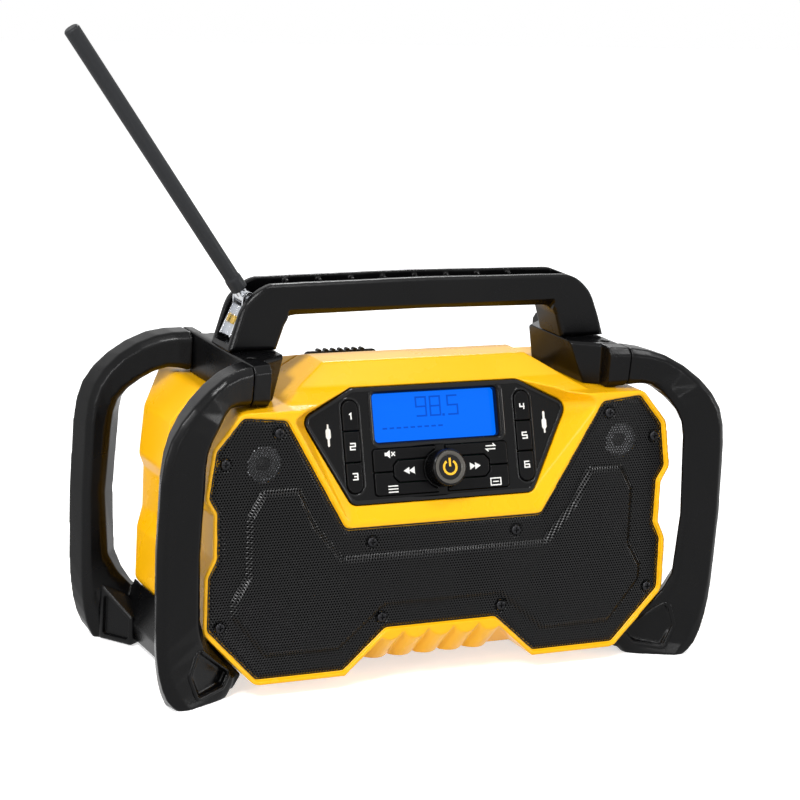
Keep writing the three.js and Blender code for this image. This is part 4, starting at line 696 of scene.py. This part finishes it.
# Moulded skins
def handle_hull():
    """Prism with the handle's rounded outline, which trims its corners."""
    left = [(-x, z) for x, z in reversed(HANDLE_LEFT_SHARES)]
    shares = HANDLE_RIGHT_SHARES + [(0, HANDLE_CROWN)] + left
    outline = rounded(from_shares(shares, HANDLE_HALF_WIDTH, HANDLE_RISE), HANDLE_CORNER, HANDLE_ARC_STEPS)
    rings = [[(x, y, HANDLE_BASE + z) for x, z in outline] for y in (HANDLE_REACH, -HANDLE_REACH)]
    mesh = bpy.data.meshes.new("handle_hull")
    points, faces = loft(rings)
    mesh.from_pydata(points, [], faces)
    mesh.transform(BODY @ Matrix.Scale(MM, 4))
    hull = bpy.data.objects.new("handle_hull", mesh)
    bpy.context.scene.collection.objects.link(hull)
    return hull


for name, settings in SKINS.items():
    moulded(name, *settings)
hull = handle_hull()
moulded("carry_handle", *HANDLE_SKIN, within=hull)
bpy.data.objects.remove(hull)
key_names = [name for name in nodes if slot_of[name] == "key_rubber"]
for name in key_names:
    moulded(name, *KEY_SKIN)
moulded("control_bezel", *BEZEL_SKIN, material=SATIN)


# Grille
grille_outline = both_sides(from_shares(GRILLE_SHARES, BODY_HALF_WIDTH, BODY_HEIGHT))
field_outline = both_sides(from_shares(FIELD_SHARES, BODY_HALF_WIDTH, BODY_HEIGHT))
grille_edge = rounded(grille_outline, BODY_CORNER)
field_edge = rounded(field_outline, BODY_CORNER)


def eased(share):
    share = np.clip(share, 0, 1)
    return STRAIGHT_SHARE * share + (1 - STRAIGHT_SHARE) * share * share * (3 - 2 * share)


def grille_level(x, y):
    level = FIELD_RISE * eased(depth_inside(field_edge, x, y) / FIELD_SLOPE)
    level -= BORDER_DROP * (1 - eased(depth_inside(grille_edge, x, y) / BORDER_WIDTH))
    for screw_x, screw_y in SCREW_PLACES:
        away = np.hypot(np.abs(x) - screw_x, y - screw_y)
        share = (away - SCREW_DIMPLE + SCREW_DIMPLE_EASE) / SCREW_DIMPLE_EASE
        level -= SCREW_DIMPLE_DROP * (1 - eased(share))
    return level


def hexagon(centres, radius):
    angles = np.arange(HOLE_SIDES) * math.pi / 3 + math.pi / 6
    x = centres[:, 0, None] + radius * np.cos(angles)
    y = centres[:, 1, None] + radius * np.sin(angles)
    return x, y


def hole_centres():
    row_pitch = HOLE_PITCH * math.sin(math.pi / 3)
    rows = int(BODY_HEIGHT / row_pitch) + 2
    columns = int(BODY_HALF_WIDTH / HOLE_PITCH) + 2
    row, column = np.meshgrid(np.arange(rows), np.arange(-columns, columns + 1), indexing="ij")
    x = (column + (row % 2) / 2) * HOLE_PITCH
    y = row * row_pitch
    centres = np.stack([x.ravel(), y.ravel()], axis=1)
    room = depth_inside(grille_edge, centres[:, 0], centres[:, 1])
    for screw_x, screw_y in SCREW_PLACES:
        away = np.hypot(np.abs(centres[:, 0]) - screw_x, centres[:, 1] - screw_y)
        room = np.where(away < SCREW_CLOSED_RADIUS, -1, room)
    return centres[room > HOLE_PITCH * HOLE_ROOM_SHARE]


def welded(points, faces):
    keys = np.round(points * WELDS_PER_MM).astype(np.int64)
    _, first, back = np.unique(keys, axis=0, return_index=True, return_inverse=True)
    return points[first], back.reshape(-1)[faces]


def perforated_sheet():
    centres = hole_centres()
    count = len(centres)
    corner_x, corner_y = hexagon(centres, HOLE_PITCH / math.sqrt(3))
    edge_x, edge_y = hexagon(centres, HOLE_PITCH * HOLE_SHARE)
    corner_z = grille_level(corner_x, corner_y)
    edge_z = grille_level(edge_x, edge_y)
    rings = np.stack([
        np.stack([corner_x, corner_y, corner_z + THREAD_RIDGE], axis=2),
        np.stack([edge_x, edge_y, edge_z], axis=2),
        np.stack([edge_x, edge_y, edge_z - SHEET_THICKNESS], axis=2),
    ], axis=1)
    points = rings.reshape(-1, 3)
    outer = np.arange(HOLE_SIDES)
    after = (outer + 1) % HOLE_SIDES
    front = np.stack([outer, after, after + HOLE_SIDES, outer + HOLE_SIDES], axis=1)
    cell = np.concatenate([front, front + HOLE_SIDES])
    starts = np.arange(count)[:, None, None] * 3 * HOLE_SIDES
    faces = (starts + cell[None]).reshape(-1, 4)
    points, faces = welded(points, faces)
    add_mesh("grille_sheet", points.tolist(), faces.tolist(), SHEET, FACE, slot="grille_metal",
             replaces=("speaker_grille",))

    tweeter_x, tweeter_y = TWEETER_PLACE
    away = np.hypot(np.abs(centres[:, 0]) - tweeter_x, centres[:, 1] - tweeter_y)
    backed = away > TWEETER_RADIUS
    x, y = corner_x[backed], corner_y[backed]
    behind = np.stack([x, y, grille_level(x, y) - SCREEN_GAP], axis=2).reshape(-1, 3)
    cells = np.arange(len(behind)).reshape(-1, HOLE_SIDES)
    behind, cells = welded(behind, cells)
    add_mesh("grille_screen", behind.tolist(), cells.tolist(), SCREEN, FACE)


def grille_rim():
    level = -BORDER_DROP + RIM_HEIGHT
    profile = [
        (0, RIM_FOOT), (0, level - RIM_EDGE_DROP), (RIM_EDGE, level), (RIM_WIDTH, level + RIM_CROWN),
        (RIM_WIDTH, RIM_FOOT),
    ]
    rings = [[(x, y, height) for x, y in inset(grille_edge, distance)] for distance, height in profile]
    add_mesh("grille_rim", *band(rings), SHEET, FACE, slot="grille_metal")


perforated_sheet()
grille_rim()


# Screws, tweeter trims
def screw_head(radius, height, places):
    """Pan heads with a cross recess, each looking up at its own place."""
    corner = math.atan2(SCREW_ARM_HALF, SCREW_ARM)
    between = (corner + math.pi / 4) / 2
    quarter = [0, corner, between, math.pi / 4, math.pi / 2 - between, math.pi / 2 - corner]
    angles = [k * math.pi / 2 + angle for k in range(4) for angle in quarter]

    def cross_reach(angle):
        side = abs(math.cos(angle)) + NOT_ZERO
        rise = abs(math.sin(angle)) + NOT_ZERO
        flat = min(SCREW_ARM / side, SCREW_ARM_HALF / rise)
        tall = min(SCREW_ARM_HALF / side, SCREW_ARM / rise)
        return max(flat, tall)

    rings = []
    for share, level in SCREW_SIDE_SHARES:
        rings.append([(share, angle, level) for angle in angles])
    for level in SCREW_RECESS_SHARES:
        rings.append([(cross_reach(angle), angle, level) for angle in angles])
    solids = []
    for x, y, z in places:
        placed = []
        for ring in rings:
            placed.append([
                (x + r * radius * math.cos(angle), y + r * radius * math.sin(angle), z + level * height)
                for r, angle, level in ring
            ])
        solids.append(loft(placed))
    return combined(*solids)


def add_screws(name, size, places, place):
    piece = add_mesh(name, *screw_head(*size, places), SCREW_BLACK, place, slot="bright_steel")
    mark_sharp(piece.data, SCREW_SHARP)


def face_screws():
    places = []
    for x, y in SCREW_PLACES:
        for side in (-1, 1):
            level = float(grille_level(np.array([side * x]), np.array([y]))[0])
            places.append((side * x, y, level + GRILLE_SCREW_LIFT))
    add_screws("grille_screws", GRILLE_SCREW_SIZE, places, FACE)


def tweeter_trims():
    for side, name in ((-1, "left"), (1, "right")):
        centre = (side * TWEETER_PLACE[0], TWEETER_PLACE[1])
        ring = revolve(TWEETER_RING, TWEETER_RING_STEPS, centre)
        dome = revolve(TWEETER_DOME, TWEETER_DOME_STEPS, centre)
        for part, solid, material in (("ring", ring, STEEL), ("dome", dome, DARK_STEEL)):
            piece = add_mesh(f"tweeter_{part}_{name}", *solid, material, FACE, slot="bright_steel")
            mark_sharp(piece.data, TRIM_SHARP)


face_screws()
tweeter_trims()


# Control panel trims
def panel_trims():
    panel = both_sides(from_shares(PANEL_SHARES, PANEL_HALF_WIDTH, PANEL_HEIGHT))
    bands = [ridge(rounded(panel, PANEL_CORNER, PANEL_ARC_STEPS), *PANEL_RIM)]
    for side in (-1, 1):
        x = side * COLUMN_X
        column = rectangle(x - COLUMN_HALF_WIDTH, x + COLUMN_HALF_WIDTH, *COLUMN_SPAN)
        bands.append(ridge(rounded(column, COLUMN_HALF_WIDTH, COLUMN_ARC_STEPS), *COLUMN_RIM))
    window = rectangle(-WINDOW_HALF_WIDTH, WINDOW_HALF_WIDTH, *WINDOW_SPAN)
    bands.append(ridge(rounded(window, WINDOW_CORNER, WINDOW_ARC_STEPS), *WINDOW_RIM))
    piece = add_mesh("bezel_trims", *combined(*bands), GLOSS, PANEL)
    mark_sharp(piece.data, BAND_SHARP)


# Strokes of the digits on a unit cell, one line each
DIGIT_LINES = {
    "1": [[(0.25, 0.8), (0.6, 1), (0.6, 0)]],
    "2": [[(0, 1), (1, 1), (1, 0.5), (0, 0.5), (0, 0), (1, 0)]],
    "3": [[(0, 1), (1, 1), (1, 0), (0, 0)], [(0.3, 0.5), (1, 0.5)]],
    "4": [[(0, 1), (0, 0.45), (1, 0.45)], [(0.8, 1), (0.8, 0)]],
    "5": [[(1, 1), (0, 1), (0, 0.5), (1, 0.5), (1, 0), (0, 0)]],
    "6": [[(1, 1), (0, 1), (0, 0), (1, 0), (1, 0.5), (0, 0.5)]],
    "8": [[(0.5, 1), (0, 1), (0, 0), (1, 0), (1, 1), (0.5, 1)], [(0, 0.5), (1, 0.5)]],
    "9": [[(0, 0), (1, 0), (1, 1), (0, 1), (0, 0.5), (1, 0.5)]],
}


def strokes(lines, size, width, low, high, centre):
    """Strokes drawn on a unit cell, scaled to a size and centred on a place."""
    solids = []
    for line in lines:
        placed = [
            (centre[0] + (x - 0.5) * size[0], centre[1] + (y - 0.5) * size[1])
            for x, y in line
        ]
        solids.append(ribbon(placed, width, low, high))
    return combined(*solids)


def arc(centre, radius, start, end, steps):
    return [
        (
            centre[0] + radius * math.cos(math.radians(start + (end - start) * i / steps)),
            centre[1] + radius * math.sin(math.radians(start + (end - start) * i / steps)),
        )
        for i in range(steps + 1)
    ]


def print_on(name, solid, key):
    add_mesh(name, *solid, WHITE, PANEL, body=body_of[key], slot="key_rubber")


def preset_numbers():
    width, height, stroke = PRESET_PRINT
    rows = len(PRESET_LEVELS)
    for i in range(2 * rows):
        side = -1 if i < rows else 1
        place = (side * COLUMN_X, PRESET_LEVELS[i % rows])
        solid = strokes(DIGIT_LINES[str(i + 1)], (width, height), stroke, KEY_LEVEL - PRINT_THICKNESS,
                        KEY_LEVEL + PRINT_THICKNESS, place)
        print_on(f"preset_number_{i + 1}", solid, f"preset_button_{i + 1}")


# Outlines and strokes of the pictograms, in millimetres about each one's middle
ARROW_HEAD = [(-2.1, -2.4), (2.1, 0), (-2.1, 2.4)]
SPEAKER_BODY = [(-3.4, -1.1), (-1.7, -1.1), (0.4, -2.7), (0.4, 2.7), (-1.7, 1.1), (-3.4, 1.1)]
CROSS_LINES = [[(1.5, -1.3), (4.1, 1.3)], [(1.5, 1.3), (4.1, -1.3)]]
LIST_LINES = [[(-3.6, y), (3.6, y)] for y in (-2, 0, 2)]
SWAP_LINES = [[(-3.6, 1.1), (3.4, 1.1), (1.7, 2.6)], [(3.6, -1.1), (-3.4, -1.1), (-1.7, -2.6)]]
SCREEN_LINES = [
    [(0, 2.3), (-3.8, 2.3), (-3.8, -2.3), (3.8, -2.3), (3.8, 2.3), (0, 2.3)],
    [(-2.2, 0), (2.2, 0)],
]
ICON_STROKE = 0.75
SEEK_ARROW_GAP = 3.9


def key_icons():
    low = KEY_LEVEL - PRINT_THICKNESS
    high = KEY_LEVEL + PRINT_THICKNESS
    for side, key in ((-1, "seek_back_button"), (1, "seek_forward_button")):
        head = [(side * x, y) for x, y in ARROW_HEAD]
        if side < 0:
            head.reverse()
        heads = [
            moved(plate(head, low, high), side * SEEK_X + shift * SEEK_ARROW_GAP / 2, CLUSTER_LEVEL)
            for shift in (-1, 1)
        ]
        print_on(key.replace("button", "arrows"), combined(*heads), key)
    icons = {
        "upper_left": CROSS_LINES, "lower_left": LIST_LINES,
        "upper_right": SWAP_LINES, "lower_right": SCREEN_LINES,
    }
    for key, lines in icons.items():
        solids = [plate(SPEAKER_BODY, low, high)] if lines is CROSS_LINES else []
        solids += [ribbon(line, ICON_STROKE, low, high) for line in lines]
        print_on(f"{key}_icon", moved(combined(*solids), *WIDE_KEY_PLACES[key]), f"{key}_button")


# Plug symbol: half widths along its length, tip first
PLUG_PROFILE = [
    (0.35, 7.4), (0.75, 6.6), (0.75, 2.4), (1.25, 2.1), (1.75, 1.2), (1.75, -3.4), (1.1, -4.4), (0.6, -4.8),
    (0.6, -7.4),
]


def plug_symbols():
    solids = []
    for side in (-1, 1):
        outline = both_sides([(x, y * side) for x, y in PLUG_PROFILE])
        if side > 0:
            outline.reverse()
        solids.append(moved(plate(outline, -PRINT_THICKNESS, PRINT_THICKNESS), side * PLUG_X, PLUG_LEVEL))
    add_mesh("plug_symbols", *combined(*solids), WHITE, PANEL)


def display_digits():
    width, height, stroke = DIGIT_SIZE
    low, high = LENS_LEVEL - PRINT_THICKNESS, LENS_LEVEL + PRINT_THICKNESS
    solids = []
    x, y = DIGITS_START
    for digit in DISPLAY_NUMBER:
        if digit == ".":
            point = [(x - width * POINT_WIDTH_SHARE, y), (x, y)]
            solids.append(ribbon(point, stroke * POINT_STROKE_SHARE, low, high))
            x += width * POINT_PITCH_SHARE
            continue
        middle = (x + width / 2, y + height / 2)
        solids.append(strokes(DIGIT_LINES[digit], (width, height), stroke, low, high, middle))
        x += DIGIT_PITCH
    first, y = DASHES_START
    for i in range(DASHES):
        start = first + i * DASH_PITCH
        solids.append(ribbon([(start, y), (start + DASH_LENGTH, y)], stroke, low, high))
    add_mesh("display_digits", *combined(*solids), DIGITS, PANEL, slot="blue_display")


def add_knob_piece(name, solid, material, replaces=()):
    return add_mesh(name, *solid, material, PANEL, body="knob", slot="knob_plastic", replaces=replaces)


def knob_grip():
    """Turned grip whose side, from its foot to its shoulder, has ribs."""
    core = KNOB_HEIGHT - KNOB_CORE_DROP
    well = KNOB_HEIGHT - KNOB_WELL_DROP
    outer = RING_RADII[1]
    profile = [(0, core), (KNOB_BORE, core), (KNOB_BORE, KNOB_LIFT)]
    profile += [(KNOB_RADIUS + change, KNOB_LIFT + rise) for change, rise in KNOB_FOOT]
    ribbed = range(len(profile) - 1, len(profile) + 1)
    profile += [(KNOB_RADIUS + change, KNOB_HEIGHT + rise) for change, rise in KNOB_SHOULDER]
    profile += [(outer, KNOB_HEIGHT + KNOB_LIP_LEVEL), (outer, well), (0, well)]
    steps = KNOB_RIBS * KNOB_RIB_STEPS
    rings = []
    for row, (radius, level) in enumerate(profile):
        ring = []
        for i in range(steps):
            angle = math.tau * i / steps
            in_groove = i % KNOB_RIB_STEPS < KNOB_RIB_STEPS / 2
            rib = KNOB_RIB_DEPTH if row in ribbed and in_groove else 0
            reach = max(radius - rib, LEAST_RADIUS)
            ring.append((reach * math.cos(angle), CLUSTER_LEVEL + reach * math.sin(angle), level))
        rings.append(ring)
    return loft(rings)


def knob():
    middle = (0, CLUSTER_LEVEL)
    inner, outer = RING_RADII
    ring_levels = [(0, RING_FOOT_LEVEL), (outer, RING_FOOT_LEVEL)]
    ring_levels += [(outer + change, level) for change, level in RING_OUTER]
    ring_levels += [(inner + change, level) for change, level in RING_INNER]
    ring_levels.append((0, RING_INNER[-1][1]))
    low, high = DISC_LEVELS
    disc_levels = [(0, low), (inner, low), (inner, high), (0, high)]
    ring, disc = [
        revolve([(radius, KNOB_HEIGHT + level) for radius, level in levels], RING_STEPS, middle)
        for levels in (ring_levels, disc_levels)
    ]
    grip = add_knob_piece("knob_grip", knob_grip(), SATIN, replaces=("control_knob",))
    turned = [grip, add_knob_piece("knob_ring", ring, RING_GREY_AND_PAINTED_HIGHLIGHT), add_knob_piece("knob_disc", disc, GLOSS)]
    for piece in turned:
        mark_sharp(piece.data, KNOB_SHARP)
    low, high = [KNOB_HEIGHT + level for level in POWER_LEVELS]
    loop = ribbon(arc(middle, POWER_RADIUS, *POWER_OPENING, POWER_STEPS), POWER_STROKE, low, high)
    bar = ribbon([
        (0, CLUSTER_LEVEL + POWER_BAR_START), (0, CLUSTER_LEVEL + POWER_RADIUS * POWER_BAR_SHARE),
    ], POWER_STROKE, low, high)
    add_knob_piece("power_symbol", combined(loop, bar), AMBER_PRINT_PAINTED_GLOW)


panel_trims()
preset_numbers()
key_icons()
plug_symbols()
display_digits()
knob()


# Screws of the shoulders and the rear housing
def shoulder_screws():
    x, y, z = SHOULDER_SCREW_PLACE
    places = [(i * x, j * y, z) for i in (-1, 1) for j in (-1, 1)]
    add_screws("shoulder_screws", SHOULDER_SCREW_SIZE, places, BODY)


def rear_screws():
    """Screws seated on the housing where a ray from behind meets it."""
    tree = ray_tree(nodes["rear_housing"].data)
    place = BODY @ LOOKING_BACK
    places = []
    for side in (-1, 1):
        for x, z in REAR_SCREW_PLACES:
            start = place @ (Vector((side * x, z, RAY_REACH)) * MM)
            hit = tree.ray_cast(start, Vector((0, -1, 0)))[0]
            places.append((side * x, z, hit.y / MM))
    add_screws("rear_screws", REAR_SCREW_SIZE, places, place)


rear_screws()
shoulder_screws()


# Raised frames round the recesses of the feet
def foot_frames():
    outline = rounded(from_shares(FOOT_SHARES, CAGE_HALF_WIDTH, CAGE_HEIGHT), FOOT_CORNER)
    for name, side in (("right", 1), ("left", -1)):
        tree = ray_tree(nodes[f"{name}_cage"].data)
        solids = []
        for end in (-1, 1):
            rings = []
            for away, height in FOOT_FRAME:
                ring = []
                for x, z in inset(outline, -away):
                    start = BODY @ Vector((side * x * MM, end * RAY_REACH * MM, z * MM))
                    hit = tree.ray_cast(start, Vector((0, -end, 0)))[0]
                    ring.append((side * x, hit.y / MM + end * height, z))
                rings.append(ring)
            solids.append(band(rings))
        piece = add_mesh(f"{name}_foot_frames", *combined(*solids), BLACK, BODY)
        face_outward(piece.data)
        mark_sharp(piece.data, BAND_SHARP)


foot_frames()


# Gussets with a framed recess in the inner corners of the cages
def gussets():
    far = Vector((*GUSSET_FAR, 0))
    near = Vector((*GUSSET_NEAR, 0))
    along = (near - far).normalized()
    outward = Vector((0, 0, 1)).cross(along)
    length = (near - far).length
    near_height, far_height = GUSSET_HEIGHTS
    corners = [(0, GUSSET_BASE), (length, GUSSET_BASE), (length, near_height), (0, far_height)]
    rings = []
    for away, level in GUSSET_STEPS:
        outline = rounded(inset(corners, away), GUSSET_CORNER)
        rings.append([far + along * u + outward * level + Vector((0, 0, v)) for u, v in outline])
    for name, side in (("right", 1), ("left", -1)):
        solids = []
        for end in (-1, 1):
            solids.append(loft([[(p.x * side, p.y * end, p.z) for p in ring] for ring in rings]))
        piece = add_mesh(f"{name}_gussets", *combined(*solids), BLACK, BODY)
        face_outward(piece.data)
        mark_sharp(piece.data, BAND_SHARP)


gussets()


# Panel frame and finger ribs of the battery door
def door_trims():
    low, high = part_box("battery_door")
    middle = (low.x + high.x) / 2
    half = (high.x - low.x) / 2 / MM - DOOR_MARGIN
    bottom = low.z / MM + DOOR_MARGIN
    top = high.z / MM - DOOR_TOP_MARGIN
    place = Matrix.Translation((middle, high.y, 0)) @ LOOKING_BACK
    panel = rectangle(-half, half, bottom, top)
    solids = [ridge(rounded(panel, DOOR_CORNER, DOOR_ARC_STEPS), *DOOR_FRAME)]
    rib_half = half - DOOR_MARGIN
    for i in range(DOOR_RIBS):
        level = bottom + DOOR_RIB_START + i * DOOR_RIB_PITCH
        rib = rectangle(-rib_half, rib_half, level - DOOR_RIB_HALF, level + DOOR_RIB_HALF)
        outline = rounded(rib, DOOR_RIB_HALF, RIB_ARC_STEPS)
        solids.append(loft([[(x, y, height) for x, y in inset(outline, away)] for away, height in PAD_STEPS]))
    piece = add_mesh("door_trims", *combined(*solids), BLACK, place, body="door")
    mark_sharp(piece.data, TRIM_SHARP)


door_trims()


# Grip ribs on top of the latch
def latch_ribs():
    low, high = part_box("door_latch")
    top = high.z / MM
    back = high.y / MM - LATCH_RIB_MARGIN
    solids = []
    for i in range(LATCH_RIBS):
        x = (i - (LATCH_RIBS - 1) / 2) * LATCH_RIB_PITCH + (low.x + high.x) / 2 / MM
        sides = (x - LATCH_RIB_HALF, x + LATCH_RIB_HALF)
        section = rectangle(*sides, top - LATCH_RIB_HEIGHT, top + LATCH_RIB_HEIGHT)
        outline = rounded(section, LATCH_RIB_CORNER, RIB_ARC_STEPS)
        solids.append(loft([[(u, y, v) for u, v in outline] for y in (back, back - LATCH_RIB_DEPTH)]))
    piece = add_mesh("latch_ribs", *combined(*solids), BLACK, Matrix.Identity(4), body="latch")
    mark_sharp(piece.data, BAND_SHARP)


latch_ribs()


# Stage, light and camera
def background_switch(tree, plain, seen, mirrored):
    """Mix of a plain shader with one that the camera sees and one that gloss and glass show."""
    path = tree.nodes.new("ShaderNodeLightPath")
    either = tree.nodes.new("ShaderNodeMath")
    either.operation = "MAXIMUM"
    tree.links.new(path.outputs["Is Glossy Ray"], either.inputs[0])
    tree.links.new(path.outputs["Is Transmission Ray"], either.inputs[1])
    direct = tree.nodes.new("ShaderNodeMixShader")
    tree.links.new(path.outputs["Is Camera Ray"], direct.inputs[0])
    tree.links.new(plain, direct.inputs[1])
    tree.links.new(seen, direct.inputs[2])
    mix = tree.nodes.new("ShaderNodeMixShader")
    tree.links.new(either.outputs[0], mix.inputs[0])
    tree.links.new(direct.outputs[0], mix.inputs[1])
    tree.links.new(mirrored, mix.inputs[2])
    return mix.outputs[0]


def studio_world():
    world = bpy.data.worlds.new("studio")
    bpy.context.scene.world = world
    world.use_nodes = True
    tree = world.node_tree
    plain = tree.nodes["Background"]
    plain.inputs["Color"].default_value = FULL_WHITE
    plain.inputs["Strength"].default_value = WORLD_STRENGTH
    white = tree.nodes.new("ShaderNodeBackground")
    white.inputs["Color"].default_value = FULL_WHITE
    white.inputs["Strength"].default_value = 1.0
    output = tree.nodes["World Output"]
    mixed = background_switch(tree, plain.outputs[0], white.outputs[0], white.outputs[0])
    tree.links.new(mixed, output.inputs["Surface"])


def studio_floor():
    floor_mesh = bpy.data.meshes.new("floor")
    corners = [(x, y, 0) for x, y in rectangle(-FLOOR_HALF, FLOOR_HALF, -FLOOR_HALF, FLOOR_HALF)]
    floor_mesh.from_pydata(corners, [], [(0, 1, 2, 3)])
    floor = bpy.data.objects.new("floor", floor_mesh)
    bpy.context.scene.collection.objects.link(floor)
    material = bpy.data.materials.new("pale_floor")
    material.use_nodes = True
    tree = material.node_tree
    plain = tree.nodes["Principled BSDF"]
    plain.inputs["Base Color"].default_value = (FLOOR_GREY, FLOOR_GREY, FLOOR_GREY, 1.0)
    plain.inputs["Roughness"].default_value = FLOOR_ROUGHNESS
    plain.inputs["Specular IOR Level"].default_value = FLOOR_SPECULAR
    lit = tree.nodes.new("ShaderNodeEmission")
    lit.inputs["Color"].default_value = FULL_WHITE
    lit.inputs["Strength"].default_value = FLOOR_WHITENESS
    both = tree.nodes.new("ShaderNodeAddShader")
    tree.links.new(plain.outputs[0], both.inputs[0])
    tree.links.new(lit.outputs[0], both.inputs[1])
    white = tree.nodes.new("ShaderNodeEmission")
    white.inputs["Color"].default_value = FULL_WHITE
    white.inputs["Strength"].default_value = 1.0
    mixed = background_switch(tree, plain.outputs[0], both.outputs[0], white.outputs[0])
    tree.links.new(mixed, tree.nodes["Material Output"].inputs["Surface"])
    floor_mesh.materials.append(material)


def studio_lamps():
    aim = Vector((MIDDLE_X, 0, AIM_HEIGHT))
    for name, place, width, height, power in LAMPS:
        lamp = bpy.data.lights.new(name, "AREA")
        lamp.shape = "RECTANGLE"
        lamp.size = width
        lamp.size_y = height
        lamp.energy = power
        holder = bpy.data.objects.new(name, lamp)
        bpy.context.scene.collection.objects.link(holder)
        holder.location = place
        holder.rotation_euler = (aim - Vector(place)).to_track_quat("-Z", "Y").to_euler()


def photograph_camera():
    back = Vector((
        math.sin(CAMERA_AZIMUTH) * math.cos(CAMERA_ELEVATION),
        -math.cos(CAMERA_AZIMUTH) * math.cos(CAMERA_ELEVATION),
        math.sin(CAMERA_ELEVATION),
    ))
    level_right = Vector((math.cos(CAMERA_AZIMUTH), math.sin(CAMERA_AZIMUTH), 0))
    level_up = back.cross(level_right)
    right = math.cos(CAMERA_ROLL) * level_right + math.sin(CAMERA_ROLL) * level_up
    up = math.cos(CAMERA_ROLL) * level_up - math.sin(CAMERA_ROLL) * level_right
    target = Vector(CAMERA_TARGET) + Vector((MIDDLE_X, 0, 0))
    camera_data = bpy.data.cameras.new("photograph")
    camera_data.sensor_width = CAMERA_SENSOR
    camera_data.lens = CAMERA_LENS
    camera = bpy.data.objects.new("photograph", camera_data)
    bpy.context.scene.collection.objects.link(camera)
    turn = Matrix((right, up, back)).transposed().to_4x4()
    camera.matrix_world = Matrix.Translation(target + back * CAMERA_DISTANCE) @ turn
    bpy.context.scene.camera = camera


bpy.context.scene.view_settings.view_transform = "Standard"
studio_world()
studio_floor()
studio_lamps()
photograph_camera()
